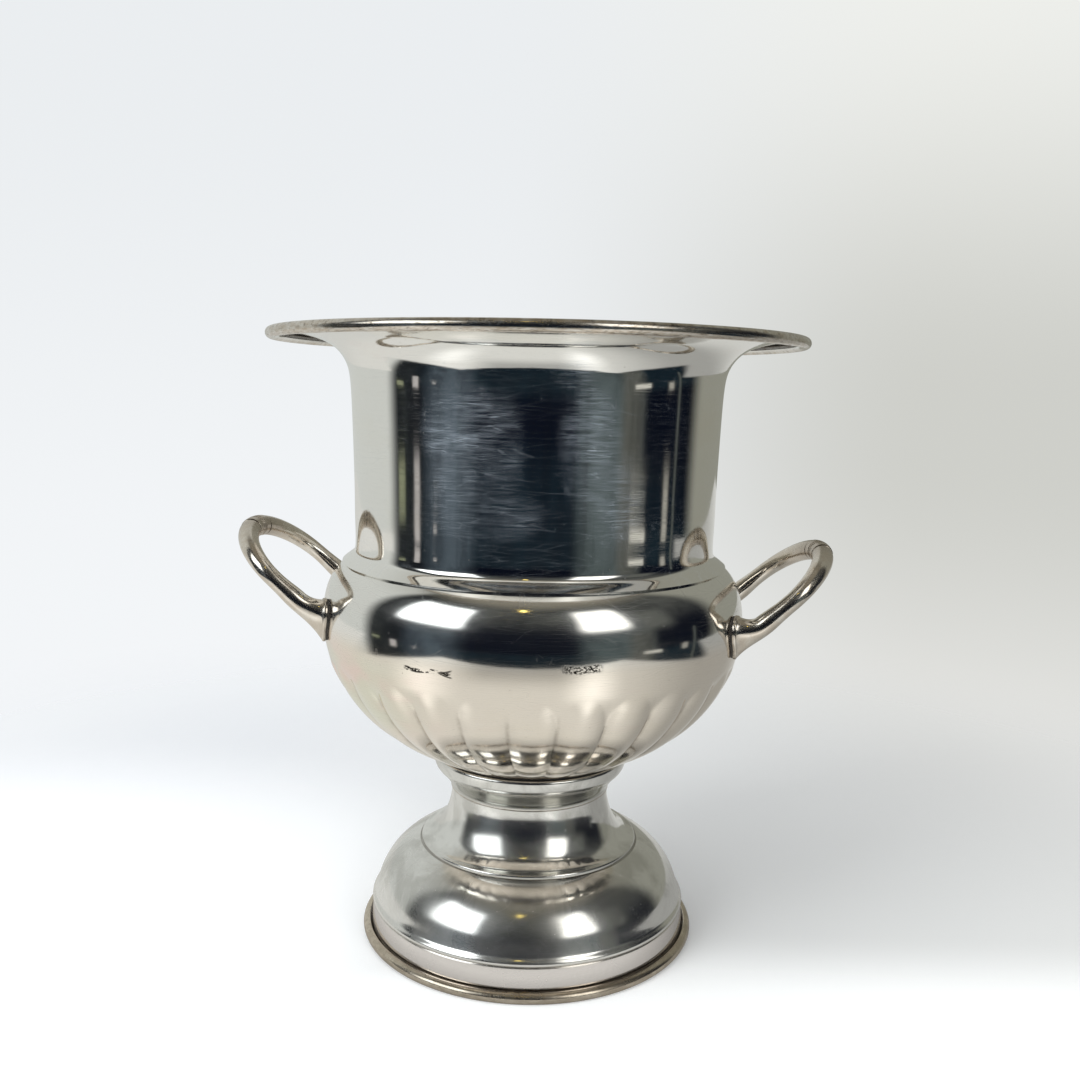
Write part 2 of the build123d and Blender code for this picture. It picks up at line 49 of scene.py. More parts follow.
# ---------------------------------------------------------------- driving sizes, mm
SHEET = 0.9  # thickness of the shells
BEAD_R = 2.35  # section radius of the rolled rim and of the rolled foot edge
RIM_BEAD_R, RIM_TOP_Z = 111.4, 263.8
RIM_BEAD_Z = RIM_TOP_Z - BEAD_R
FOOT_BEAD_R, FOOT_FLAT = 71.9, 0.2
FOOT_BEAD_Z = BEAD_R - FOOT_FLAT

# the lower bowl is half an ellipse in section
BOWL_MID_Z, BOWL_HALF_WIDTH, BOWL_HALF_HEIGHT = 143.0, 91.3, 69.5
BOWL_BASE_Z = 81.8
ELLIPSE_TOP_Z = 131.0
NECK_R, NECK_TOP_Z = 76.5, 178.0
LAP = 0.08  # gap between the bowl's neck and the wall that laps it
LOBES, LOBE_SEGMENTS = 28, 24
LOBE_TOP_Z, LOBE_DEPTH, LOBE_RISE = 125.5, 1.5, 0.5
LOBE_TURN = math.radians(3.2)

DOME_CENTRE_R, DOME_CENTRE_Z, DOME_R = 39.6, 12.7, 29.1
FLARE_R, FLARE_GAP = 48.3, 0.05  # edge of the stem's flare, and its gap over the dome
COLLAR_TOP_Z, COLLAR_WEB = 80.6, 1.5
STUD_HOLE_R = 4.2

# each handle is a loop in a tilted plane, with leaf shaped feet on the bowl
APEX_X, TILT = 124.1, math.radians(41.5)
LOOP_REACH, LOOP_HALF_WIDTH, LOOP_START = 27.3, 37.3, -38.0
FOOT_AZIMUTH = math.radians(22.9)
FOOT_DISTANCE = 92.0  # from the axis, before the foot is fitted to the packing
GASKET, GASKET_GAP = 0.8, 0.05
# heights of the loop's outermost point and of its feet
RIGHT_HEIGHTS, LEFT_HEIGHTS = (173.6, 142.5), (178.1, 144.7)
ARM_R, CREST_R, FOOT_FLARE, FOOT_FLARE_RUN = 3.35, 4.45, 0.85, 7.5
RING = 80  # points round the handle's section
# grooves at the crest: distance either side of the middle, depth, width
CREST_GROOVES = [(0.65, 0.45, 0.19), (1.95, 0.55, 0.24), (7.9, 0.60, 0.30)]
BAND_END, BAND_RISE, BAND_TAPER = 7.9, 0.16, 0.5


# ---------------------------------------------------------------- curves
def smooth(value):
    """Smoothstep of a value clipped to 0..1."""
    value = np.clip(value, 0, 1)
    return value * value * (3 - 2 * value)


def run_lengths(points):
    """Distance along a polyline to each of its points."""
    return np.r_[0.0, np.cumsum(np.hypot(*np.diff(points, axis=0).T))]


def hermite(s, start, start_slope, end, end_slope):
    """Point at s (0..1) of a cubic from start to end."""
    return (
        (2 * s**3 - 3 * s**2 + 1) * start
        + (s**3 - 2 * s**2 + s) * start_slope
        + (-2 * s**3 + 3 * s**2) * end
        + (s**3 - s**2) * end_slope
    )


def spline(points, spacing=0.5, start=None, end=None):
    """Smooth curve through points, sampled about every spacing mm; start, end are directions."""
    points = np.array(points, float)
    count = len(points)
    gaps = np.diff(run_lengths(points))
    chords = np.diff(points, axis=0)
    system = np.zeros((count, count))
    known = np.zeros((count, 2))
    for i in range(1, count - 1):
        before, after = gaps[i - 1], gaps[i]
        system[i, i - 1 : i + 2] = after, 2 * (before + after), before
        known[i] = 3 * (after * chords[i - 1] / before + before * chords[i] / after)
    for row, beside, direction in ((0, 1, start), (-1, -2, end)):
        if direction is not None:
            system[row, row] = 1
            known[row] = np.array(direction, float) / np.hypot(*direction)
        else:
            system[row, row], system[row, beside] = 2, 1
            known[row] = 3 * chords[row] / gaps[row]
    slopes = np.linalg.solve(system, known)
    out = []
    for i, gap in enumerate(gaps):
        steps = max(2, int(math.ceil(gap / spacing)))
        for j in range(steps):
            ends = (points[i], gap * slopes[i], points[i + 1], gap * slopes[i + 1])
            out.append(tuple(hermite(j / steps, *ends)))
    out.append(tuple(points[-1]))
    return out


def arc(centre_r, centre_z, radius, start, end, steps):
    """Points of an arc between two angles in degrees."""
    out = []
    for i in range(steps + 1):
        angle = math.radians(start + (end - start) * i / steps)
        out.append((centre_r + radius * math.cos(angle), centre_z + radius * math.sin(angle)))
    return out


def left_offset(points, distance):
    """The polyline moved to the left of its direction of travel."""
    out = []
    for i, (x, z) in enumerate(points):
        x0, z0 = points[max(i - 1, 0)]
        x1, z1 = points[min(i + 1, len(points) - 1)]
        chord = math.hypot(x1 - x0, z1 - z0)
        out.append((x - (z1 - z0) / chord * distance, z + (x1 - x0) / chord * distance))
    return out


def radial(start, end, z, steps):
    """Points along a level line between two radii."""
    return [(start + (end - start) * i / steps, z) for i in range(steps + 1)]


def join(*runs):
    """One closed loop from runs of points, without repeats where they meet."""
    def same(a, b):
        return math.hypot(a[0] - b[0], a[1] - b[1]) <= 1e-4

    out = []
    for run in runs:
        for point in run:
            if not out or not same(point, out[-1]):
                out.append(point)
    if same(out[0], out[-1]):
        out.pop()
    return out


# ---------------------------------------------------------------- meshes
def mesh_object(name, verts, faces, material, sharp, replaced):
    """Smooth shaded object, verts in metres, creases sharper than `sharp` degrees kept."""
    mesh = bpy.data.meshes.new(name)
    mesh.from_pydata([tuple(v) for v in verts], [], faces)
    mesh.validate()
    mesh.polygons.foreach_set("use_smooth", [True] * len(mesh.polygons))
    mesh.update()
    mesh.set_sharp_from_angle(angle=math.radians(sharp))
    ob = bpy.data.objects.new(name, mesh)
    bpy.context.scene.collection.objects.link(ob)
    mesh.materials.append(material)
    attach(ob, "root")
    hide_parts(replaced)


def grid_faces(rows, columns, wrap_rows=True):
    """Quads between rows of points; the columns always close on themselves."""
    faces = []
    for i in range(rows if wrap_rows else rows - 1):
        here, above = i * columns, (i + 1) % rows * columns
        for j in range(columns):
            k = (j + 1) % columns
            faces.append((here + j, above + j, above + k, here + k))
    return faces


def lathe(name, loop, segments, material, replaced, relief=None, sharp=35):
    """Closed (r, z) loop turned about Z; relief(r, z, azimuth) is how far a point moves in."""
    pairs = zip(loop, loop[1:] + loop[:1])
    if sum(a[0] * b[1] - b[0] * a[1] for a, b in pairs) > 0:
        # clockwise, with r to the right and z up, gives outward normals
        loop = loop[::-1]
    r, z = (np.tile(column[:, None], segments) for column in np.array(loop).T)
    azimuth = np.tile(np.arange(segments) * 2 * math.pi / segments, (len(loop), 1))
    if relief is not None:
        r = r - relief(r, z, azimuth)
    verts = np.stack([r * np.cos(azimuth), r * np.sin(azimuth), z], -1).reshape(-1, 3) * MM
    faces = grid_faces(len(loop), segments)
    mesh_object(name, verts, faces, material, sharp, replaced)


# ---------------------------------------------------------------- shader nodes
class Current:
    """Holds the node tree that the functions below add to."""

    tree = None


def open_tree(tree):
    tree.nodes.clear()
    Current.tree = tree


def new_material(name):
    material = bpy.data.materials.new(name)
    material.use_nodes = True
    open_tree(material.node_tree)
    return material


def put(socket, value):
    """Links a socket or sets a value; None leaves the default."""
    if isinstance(value, bpy.types.NodeSocket):
        Current.tree.links.new(value, socket)
    elif isinstance(value, tuple) and socket.type == "RGBA":
        socket.default_value = (*value, 1.0)
    elif value is not None:
        socket.default_value = value


def add_node(kind, inputs=None, **settings):
    new = Current.tree.nodes.new("ShaderNode" + kind)
    for name, value in settings.items():
        setattr(new, name, value)
    for key, value in (inputs or {}).items():
        put(new.inputs[key], value)
    return new


def calc(operation, a, b=None, c=None, clamp=False):
    inputs = {0: a, 1: b, 2: c}
    return add_node("Math", inputs, operation=operation, use_clamp=clamp).outputs[0]


def mul(a, by):
    return calc("MULTIPLY", a, by)


def mul_add(a, by, plus, clamp=False):
    return calc("MULTIPLY_ADD", a, by, plus, clamp)


def add(a, b, clamp=False):
    return calc("ADD", a, b, clamp=clamp)


def sub(a, b):
    return calc("SUBTRACT", a, b)


def div(a, by):
    return calc("DIVIDE", a, by)


def size(a):
    return calc("ABSOLUTE", a)


def highest(first, *others):
    for other in others:
        first = calc("MAXIMUM", first, other)
    return first


def vector_math(operation, a, b=None, output=0):
    return add_node("VectorMath", {0: a, 1: b}, operation=operation).outputs[output]


def length(vector):
    return vector_math("LENGTH", vector, output="Value")


def vec(x, y, z):
    return add_node("CombineXYZ", {0: x, 1: y, 2: z}).outputs[0]


def axes(vector, count=3):
    """The first `count` components of a vector."""
    return [add_node("SeparateXYZ", {0: vector}).outputs[i] for i in range(count)]


def azimuth_of(x, y):
    """Angle about Z from the front (-Y), positive to the right, in radians."""
    return calc("ARCTAN2", x, mul(y, by=-1.0))


def axis_distance(x, y):
    return calc("SQRT", add(mul(x, x), mul(y, y)))


def remap(value, span, to, kind="LINEAR"):
    inputs = {0: value, 1: span[0], 2: span[1], 3: to[0], 4: to[1]}
    return add_node("MapRange", inputs, interpolation_type=kind, clamp=True).outputs[0]


def step(value, off, on):
    """0 at off and before it, 1 at on and past it, smooth between."""
    if on >= off:
        return remap(value, (off, on), (0.0, 1.0), "SMOOTHSTEP")
    return remap(value, (on, off), (1.0, 0.0), "SMOOTHSTEP")


def window(value, lo, hi, soft):
    """1 between lo and hi, 0 outside, with soft edges."""
    return mul(step(value, lo - soft, lo + soft), step(value, hi + soft, hi - soft))


def mix(amount, base, over, blend="MIX"):
    inputs = {0: amount, 6: base, 7: over}
    settings = dict(data_type="RGBA", blend_type=blend, clamp_factor=True)
    return add_node("Mix", inputs, **settings).outputs[2]


def mapping(vector, scale=(1, 1, 1), turn=(0, 0, 0), shift=(0, 0, 0)):
    inputs = {"Vector": vector, "Location": shift, "Rotation": turn, "Scale": scale}
    return add_node("Mapping", inputs).outputs[0]


def noise(vector, scale=1.0, detail=3.0, rough=0.5, distort=0.0, **placing):
    """Noise; placing may hold stretch, turn and shift, which are applied to the vector first."""
    if placing:
        vector = mapping(vector, placing.pop("stretch", (1, 1, 1)), **placing)
    inputs = {"Vector": vector, "Scale": scale, "Detail": detail}
    inputs.update({"Roughness": rough, "Distortion": distort})
    return add_node("TexNoise", inputs).outputs[0]


def voronoi(vector, scale, feature="F1"):
    inputs = {"Vector": vector, "Scale": scale, "Randomness": 1.0}
    return add_node("TexVoronoi", inputs, feature=feature).outputs


def bump(height, strength=1.0, distance=1.0):
    inputs = {"Strength": strength, "Distance": distance, "Height": height}
    return add_node("Bump", inputs).outputs[0]


def principled(color, rough, normal, metallic=1.0):
    inputs = {"Metallic": metallic, "Base Color": color, "Roughness": rough, "Normal": normal}
    return add_node("BsdfPrincipled", inputs).outputs[0]


def mix_shader(amount, first, second):
    return add_node("MixShader", {0: amount, 1: first, 2: second}).outputs[0]


def hazy_metal(color, rough, normal, haze, haze_rough):
    """Polished metal with a share of a duller reflection over it."""
    glossy = add_node("BsdfGlossy", {"Color": color, "Roughness": haze_rough, "Normal": normal})
    return mix_shader(haze, principled(color, rough, normal), glossy.outputs[0])


def output(shader, kind="Material"):
    add_node("Output" + kind, {0: shader})


def object_position():
    return add_node("TexCoord").outputs["Object"]


def position_mm():
    return vector_math("MULTIPLY", object_position(), (1000.0, 1000.0, 1000.0))


# ---------------------------------------------------------------- silver
WRAP_R = 75.0  # radius of the cylinder that the shells' patterns are laid on

# scratches over the shells: scale, rotation, width, seed, share left bare
HAIRLINES = [
    (0.42, (0.0, 0.12, 0.0), 0.018, 3.0, 0.42),
    (0.34, (0.0, -0.28, 0.05), 0.015, 7.0, 0.44),
    (0.42, (0.0, 0.95, 0.0), 0.011, 13.0, 0.44),
    (0.50, (0.0, 1.5, 0.1), 0.012, 19.0, 0.44),
    (0.58, (0.0, -1.1, 0.0), 0.010, 31.0, 0.44),
    (0.66, (0.0, 0.03, 0.0), 0.020, 43.0, 0.44),
]

# rubbed places on the wall: mm round from the front, z, half width, half height, strength
RUBS = [
    (-23.0, 226.0, 17.0, 18.0, 0.90),
    (-26.0, 206.0, 12.0, 14.0, 0.55),
    (-9.0, 219.0, 9.0, 22.0, 0.35),
    (23.0, 222.0, 12.0, 26.0, 0.62),
    (31.0, 200.0, 14.0, 20.0, 0.48),
    (-14.0, 194.0, 22.0, 10.0, 0.35),
    (16.0, 246.0, 9.0, 6.0, 0.5),
]


def scratches(position, scale, turn, width, seed, bare):
    """Thin straight hairlines, 1 on a line; position is in mm."""
    shift = (seed, seed * 0.7, seed * 1.3)
    # cells drawn out long and thin, so that their edges run nearly straight
    drawn_out = mapping(position, (scale * 0.06, scale * 0.06, scale), turn, shift)
    edge = voronoi(drawn_out, 1.0, "DISTANCE_TO_EDGE")["Distance"]
    kept = noise(position, shift=(seed * 3.1, 0, 0), scale=0.035, detail=2.0)
    return mul(step(edge, off=width, on=0.0), step(kept, off=bare, on=bare + 0.1))


def shell_places():
    """Positions in mm that the silver's patterns are laid out by."""
    pos = position_mm()
    x, y, z = axes(pos)
    radius = axis_distance(x, y)
    # a point on a cylinder whose height follows the surface, so that patterns join at the back
    around = vec(
        mul(div(x, radius), WRAP_R),
        mul(div(y, radius), WRAP_R),
        mul_add(radius, by=0.8, plus=z),
    )
    return SimpleNamespace(pos=pos, x=x, y=y, z=z, radius=radius, around=around)


def run_from_front(at):
    """Distance round the wrapping cylinder from the front, positive to the right."""
    return mul(azimuth_of(at.x, at.y), WRAP_R)


def pits_and_specks(pos):
    pit = voronoi(pos, scale=0.34)
    pit_pick = axes(pit["Color"], 1)[0]
    pits = mul(step(pit["Distance"], off=0.085, on=0.03), step(pit_pick, off=0.78, on=0.82))
    speck = voronoi(mapping(pos, shift=(5.3, 1.7, 9.1)), scale=0.9)
    speck_pick = add_node("SeparateXYZ", {0: speck["Color"]}).outputs[1]
    specks = mul(step(speck["Distance"], off=0.10, on=0.03), step(speck_pick, off=0.88, on=0.9))
    patches = step(noise(pos, scale=0.018, rough=0.55), off=0.46, on=0.64)
    return highest(pits, mul(mul(specks, patches), by=0.7))


def bowl_film(at, color):
    """Iridescent film low on the bowl's left."""
    pink, green = (0.95, 0.80, 0.78), (0.82, 0.91, 0.80)
    tone = noise(at.around, stretch=(0.02, 0.02, 0.03), shift=(40, 2, 7))
    left = mul(step(at.x, off=-18.0, on=-62.0), window(at.z, lo=104.0, hi=137.0, soft=9.0))
    color = mix(mul(left, mul(step(tone, off=0.40, on=0.56), by=0.75)), color, pink)
    return mix(mul(left, mul(step(tone, off=0.60, on=0.50), by=0.55)), color, green)


def bowl_scuffs(at):
    """Two rows of scuffs just under the belly, left and right of the front."""
    run, z = run_from_front(at), at.z
    waver = mul(calc("SINE", mul(run, by=0.62)), by=0.28)
    off_left = size(sub(z, add(137.0, waver))) if False else size(sub(z, add(waver, 137.0)))
    off_right = size(sub(z, add(waver, 140.6)))
    dots = noise(at.around, stretch=(1.4, 1.4, 1.8), shift=(7, 7, 7), rough=0.7)
    breaks = noise(
        at.around, stretch=(0.42, 0.42, 0.42), shift=(4, 2, 9), detail=2.0, rough=0.6
    )
    broken = mul(step(breaks, off=0.44, on=0.50), step(dots, off=0.42, on=0.47))
    left = mul(
        window(run, lo=-37.5, hi=-21.5, soft=0.8),
        mul(step(off_left, off=1.05, on=0.55), broken),
    )
    # a fork that opens out at the left row's right end
    opening = mul(add(run, 25.5), by=0.30)
    fork = mul(
        window(run, lo=-25.5, hi=-21.0, soft=0.6),
        step(size(sub(off_left, opening)), off=0.42, on=0.2),
    )
    right = mul(
        window(run, lo=13.2, hi=24.4, soft=1.5),
        mul(step(off_right, off=2.1, on=0.9), step(dots, off=0.47, on=0.51)),
    )
    tick = mul(
        window(run, lo=-49.6, hi=-49.0, soft=0.3), window(z, lo=140.2, hi=142.0, soft=0.4)
    )
    return highest(left, mul(fork, by=0.8), right, tick)


def bowl_stains_and_shade(at, color, marks):
    """The bowl's colouring, with painted shade in and beside the lobes' creases; returns the colour
    and the marks with the scuffs added.
    """
    thin_plate = (1.0, 0.935, 0.865)
    shade_color, crease_tarnish_and_shade_color = (0.62, 0.56, 0.49), (0.50, 0.45, 0.385)
    brown, black = (0.62, 0.54, 0.44), (0.02, 0.016, 0.012)
    # the lower half is yellower, where the plate is thin
    color = mix(step(at.z, off=147.0, on=137.0), color, thin_plate, blend="MULTIPLY")
    # painted shade in the creases between the lobes, over some tarnish there, and a wider painted
    # shade beside them;
    # across is 0 on a lobe's crest and 1 in the crease
    turned = sub(calc("ARCTAN2", at.y, at.x), LOBE_TURN)
    lobe = div(turned, 2 * math.pi / LOBES)
    across = mul(size(sub(calc("FRACT", add(lobe, 0.5)), 0.5)), by=2.0)
    uneven = noise(at.pos, shift=(3, 1, 8), scale=0.16, rough=0.6)
    crease_tarnish_and_shade = mul(
        mul(step(across, off=0.84, on=1.0), window(at.z, lo=87.0, hi=119.0, soft=4.0)),
        remap(uneven, span=(0.36, 0.60), to=(0.15, 0.60)),
    )
    shade = mul(
        mul(step(across, off=0.50, on=1.0), window(at.z, lo=86.0, hi=118.5, soft=3.5)),
        remap(uneven, span=(0.35, 0.62), to=(0.10, 0.25)),
    )
    # painted shade beside the creases, then painted shade over tarnish in them
    color = mix(shade, color, shade_color)
    color = mix(crease_tarnish_and_shade, color, crease_tarnish_and_shade_color)
    low = mul(step(at.z, off=108.0, on=90.0), step(uneven, off=0.42, on=0.60))
    color = mix(mul(low, by=0.28), color, brown)
    scuffs = bowl_scuffs(at)
    return mix(scuffs, color, black), highest(marks, scuffs)


def foot_stains_and_shade(at, color):
    """Colouring of foot, stem and collar, with painted shadow under the rolled edge; returns it with
    the worn bead and the grey blotches.
    """
    z, radius = at.z, at.radius
    pinkish, seam_and_shade_color, line_color = (0.90, 0.84, 0.815), (0.12, 0.09, 0.06), (0.16, 0.14, 0.11)
    brass_dark, brass_light = (0.55, 0.48, 0.39), (0.74, 0.66, 0.55)
    recess_dark_color, grey_color = (0.36, 0.36, 0.31), (0.56, 0.55, 0.515)
    # the upright band is pinkish, the rolled edge has worn to brass
    band = mul(window(z, lo=4.8, hi=13.2, soft=0.6), step(radius, off=67.0, on=68.0))
    color = mix(mul(band, by=0.8), color, pinkish)
    bead = mul(step(z, off=5.0, on=4.5), step(radius, off=70.0, on=70.6))
    mottle = noise(at.around, stretch=(0.12, 0.12, 0.5), detail=4.0, rough=0.6)
    color = mix(bead, color, mix(step(mottle, off=0.36, on=0.64), brass_dark, brass_light))
    # a dark seam between the band and the rolled edge, and painted contact shadow on the rolled
    # edge's underside where it stands on the table
    seam = mul(window(z, lo=4.4, hi=5.0, soft=0.2), step(radius, off=71.6, on=71.0))
    under = mul(step(z, off=1.5, on=0.6), step(radius, off=70.0, on=70.6))
    color = mix(highest(mul(seam, by=0.6), mul(under, by=0.5)), color, seam_and_shade_color)
    # a dark line round the edge of the stem's flare
    line = window(radius, lo=48.3, hi=49.0, soft=0.25)
    color = mix(mul(line, by=0.75), color, line_color)
    # darker rings in the collar's cove
    rings = noise(vec(0.0, 0.0, mul(z, by=1.6)), rough=0.7)
    recess_darkening = mul(
        window(z, lo=65.6, hi=72.4, soft=0.9), remap(rings, span=(0.35, 0.62), to=(0.45, 0.88))
    )
    color = mix(recess_darkening, color, recess_dark_color)
    # blotches over the dome
    blotches = noise(at.pos, shift=(2, 6, 4), scale=0.040, detail=5.0, rough=0.62, distort=0.6)
    grey = mul(step(blotches, off=0.40, on=0.62), step(z, off=16.0, on=26.0))
    return mix(mul(grey, by=0.62), color, grey_color), bead, grey


def worn_rim(at):
    return mul(step(at.radius, off=RIM_BEAD_R - 2.6, on=RIM_BEAD_R - 1.2), by=0.85)


def worn_shoulder(at):
    return mul(window(at.z, lo=80.0, hi=84.0, soft=0.8), by=0.5)


def worn_foot(at):
    low = mul(step(at.z, off=5.6, on=4.4), step(at.radius, off=69.0, on=71.0))
    ring = mul(window(at.z, lo=12.6, hi=17.0, soft=0.6), by=0.10)
    return highest(mul(low, by=0.22), ring)


def worn_collar(at):
    lower = window(at.z, lo=64.2, hi=65.1, soft=0.3)
    upper = window(at.z, lo=73.2, hi=73.8, soft=0.3)
    return mul(highest(lower, upper), by=0.55)


def rubbed_wall(at):
    """Rubbed places, a fine brushed sheen lying across the shell."""
    run = run_from_front(at)
    brush = noise(
        at.around, turn=(0.0, 0.22, 0.0), stretch=(0.10, 0.10, 1.5), shift=(5, 5, 2),
        detail=5.0, rough=0.72,
    )
    soft = noise(at.around, stretch=(0.05, 0.05, 0.05), shift=(8, 1, 6), rough=0.6)
    places = []
    for centre, height, half_width, half_height, strength in RUBS:
        distance = add(
            calc("POWER", div(sub(run, centre), half_width), 2.0),
            calc("POWER", div(sub(at.z, height), half_height), 2.0),
        )
        places.append(mul(step(distance, off=1.3, on=0.0), strength))
    texture = mul(
        remap(brush, span=(0.40, 0.60), to=(0.10, 1.0)),
        remap(soft, span=(0.38, 0.58), to=(0.35, 1.0)),
    )
    return mul(mul(highest(*places), texture), step(at.radius, off=110.0, on=84.0))


def silver(name, part, worn, tint, polish, haze, haze_rough, tarnish, hair=0.0):
    """Polished silver plate over brass, with scratches, pits, haze, tarnish and wear.

    part is "wall", "bowl" or "foot". worn gives where the plate has worn brown. polish is the
    clean roughness, haze the share of duller reflection, hair what each scratch adds to it.
    """
    straw, pink, pit_color = (0.90, 0.86, 0.74), (0.93, 0.84, 0.81), (0.16, 0.13, 0.10)
    brown, dark_brown, rub_color = (0.52, 0.43, 0.33), (0.10, 0.075, 0.05), (0.62, 0.70, 0.78)
    material = new_material(name)
    at = shell_places()
    around = at.around

    # polishing lines run round the shell
    lines = noise(around, stretch=(0.012, 0.012, 2.6), detail=4.0, rough=0.62)
    fine_lines = noise(around, stretch=(0.05, 0.05, 7.0), shift=(11, 3, 5), rough=0.6)
    hairlines = highest(*[scratches(around, *row) for row in HAIRLINES])
    marks = pits_and_specks(at.pos)

    # hazy and tarnished areas
    cloud = noise(around, stretch=(0.018, 0.018, 0.02), detail=5.0, rough=0.6, distort=0.6)
    smear = noise(
        around, stretch=(0.03, 0.03, 0.09), shift=(4, 9, 2), detail=4.0, rough=0.65, distort=0.4
    )
    color = mix(mul(step(cloud, off=0.50, on=0.74), tarnish), tint, straw)
    color = mix(mul(step(smear, off=0.54, on=0.74), tarnish), color, pink)
    if part == "bowl":
        color = bowl_film(at, color)
    color = mix(mul(marks, by=0.8), color, pit_color)
    if part == "bowl":
        color, marks = bowl_stains_and_shade(at, color, marks)
    if part == "foot":
        color, bead, grey = foot_stains_and_shade(at, color)

    # worn brown, with darker flecks
    mottle = noise(around, stretch=(0.35, 0.35, 0.8), detail=5.0, rough=0.7)
    dull = mul(worn(at), remap(mottle, span=(0.30, 0.62), to=(0.35, 1.0)))
    color = mix(dull, color, brown)
    flecks = noise(around, stretch=(0.5, 0.5, 1.2), shift=(9, 9, 1), detail=5.0, rough=0.75)
    color = mix(mul(dull, step(flecks, off=0.52, on=0.66)), color, dark_brown)

    rough = mul_add(step(cloud, off=0.42, on=0.70), by=0.04, plus=polish)
    rough = mul_add(fine_lines, by=0.05, plus=rough)
    rough = mul_add(marks, by=0.4, plus=rough)
    if part == "foot":
        rough = mul_add(bead, by=0.08, plus=rough)
        rough = mul_add(grey, by=0.07, plus=rough)
    rough = mul_add(dull, by=0.22, plus=rough)

    # surface height in mm, last the slow unevenness of hand-finished sheet
    height = mul(lines, by=0.0004)
    height = mul_add(fine_lines, by=0.00022, plus=height)
    height = sub(height, mul(hairlines, by=0.0004 if part == "foot" else 0.0009))
    height = sub(height, mul(marks, by=0.012))
    wave = noise(around, stretch=(0.035, 0.035, 0.05), shift=(1, 2, 3), detail=2.0, rough=0.4)
    height = mul_add(wave, by=0.04, plus=height)
    normal = bump(mul(height, MM))

    hazy = mul_add(step(cloud, off=0.35, on=0.70), by=haze * 0.6, plus=haze * 0.6)
    if part == "wall":
        rub = rubbed_wall(at)
        hazy = mul_add(hairlines, mul_add(rub, by=0.3, plus=0.02), hazy, clamp=True)
        scratched = mul(hairlines, mul_add(rub, by=0.50, plus=0.05))
        whitened = add(mul(rub, by=0.46), scratched, clamp=True)
        diffuse = add_node("BsdfDiffuse", {"Color": rub_color}).outputs[0]
        metal = hazy_metal(color, rough, normal, hazy, haze_rough)
        output(mix_shader(whitened, metal, diffuse))
    else:
        hazy = mul_add(hairlines, hair, hazy, clamp=True)
        output(hazy_metal(color, rough, normal, hazy, haze_rough))
    return material


# ---------------------------------------------------------------- other metals and rubber
def handle_material():
    dark_plate, light_plate = (0.74, 0.66, 0.57), (0.85, 0.79, 0.71)
    crest_color, spot_color = (0.46, 0.39, 0.32), (0.20, 0.15, 0.10)
    recess_dark_color, seat_shade_color = (0.07, 0.05, 0.035), (0.28, 0.22, 0.16)
    material = new_material("handle_plated")
    pos = position_mm()
    x, y = axes(pos, 2)
    # darker colour between the crest's reeds and in the cuts beside its bands: distance out, half
    # width
    from_middle = size(y)
    cuts = [
        step(size(sub(from_middle, place)), off=width, on=width * 0.3)
        for place, width in ((0.65, 0.28), (1.95, 0.36), (7.75, 0.50))
    ]
    recess_darkening = mul(highest(*cuts), step(size(x), off=108.0, on=112.0))
    crest = mul(step(size(y), off=30.0, on=6.0), step(size(x), off=104.0, on=118.0))
    mottle = noise(pos, scale=0.20, detail=4.0, rough=0.6, distort=0.4)
    soft = noise(pos, shift=(6, 2, 9), scale=0.10, detail=1.0, rough=0.4)
    fine = noise(pos, shift=(3, 8, 1), scale=1.6, detail=4.0, rough=0.6)
    color = mix(step(mottle, off=0.38, on=0.66), dark_plate, light_plate)
    crest_wear = mul(crest, remap(mottle, span=(0.3, 0.6), to=(0.50, 0.90)))
    color = mix(crest_wear, color, crest_color)
    spots = mul(step(fine, off=0.60, on=0.70), mul_add(crest, by=0.6, plus=0.15))
    color = mix(spots, color, spot_color)
    color = mix(mul(recess_darkening, by=0.92), color, recess_dark_color)
    # painted shade: a dull dark line along each foot's edge where it meets the bowl
    seat = mul(step(axis_distance(x, y), off=93.0, on=92.3), by=0.6)
    seat = mul(seat, remap(mottle, span=(0.35, 0.6), to=(0.2, 0.8)))
    color = mix(seat, color, seat_shade_color)

    rough = mul_add(step(mottle, off=0.35, on=0.7), by=0.06, plus=0.085)
    rough = mul_add(crest, by=0.13, plus=rough)
    rough = mul_add(highest(recess_darkening, spots), by=0.3, plus=rough)
    hairlines = scratches(pos, scale=0.5, turn=(0.3, 0.5, 0.1), width=0.012, seed=5.0, bare=0.42)
    height = mul(fine, by=0.0007)
    height = mul_add(soft, by=0.05, plus=height)
    height = sub(height, mul(hairlines, by=0.005))
    normal = bump(mul(height, MM))
    haze = mul_add(crest, by=0.25, plus=0.15, clamp=True)
    output(hazy_metal(color, rough, normal, haze, haze_rough=0.4))
    return material


def plain_material(
    name, color, rough, grain, dirt, dirt_amount=0.5, height=0.010, metallic=1.0, streak=(1, 1, 1)
):
    """Turned or moulded small parts: mottling, grain of some height in mm, and dirt."""
    material = new_material(name)
    pos = position_mm()
    mottle = noise(pos, stretch=streak, scale=grain, detail=4.0, rough=0.6)
    patches = noise(pos, shift=(7, 1, 4), scale=grain * 0.3, detail=4.0, rough=0.65)
    fine = noise(pos, stretch=streak, shift=(3, 3, 3), scale=grain * 6, rough=0.6)
    darker = tuple(c * 0.82 for c in color)
    tone = mix(step(mottle, off=0.35, on=0.7), darker, color)
    tone = mix(mul(step(patches, off=0.5, on=0.72), dirt_amount), tone, dirt)
    relief = add(fine, mul(mottle, by=0.6))
    rough = mul_add(patches, by=0.25, plus=rough)
    output(principled(tone, rough, bump(mul(relief, height * MM)), metallic))
    return material


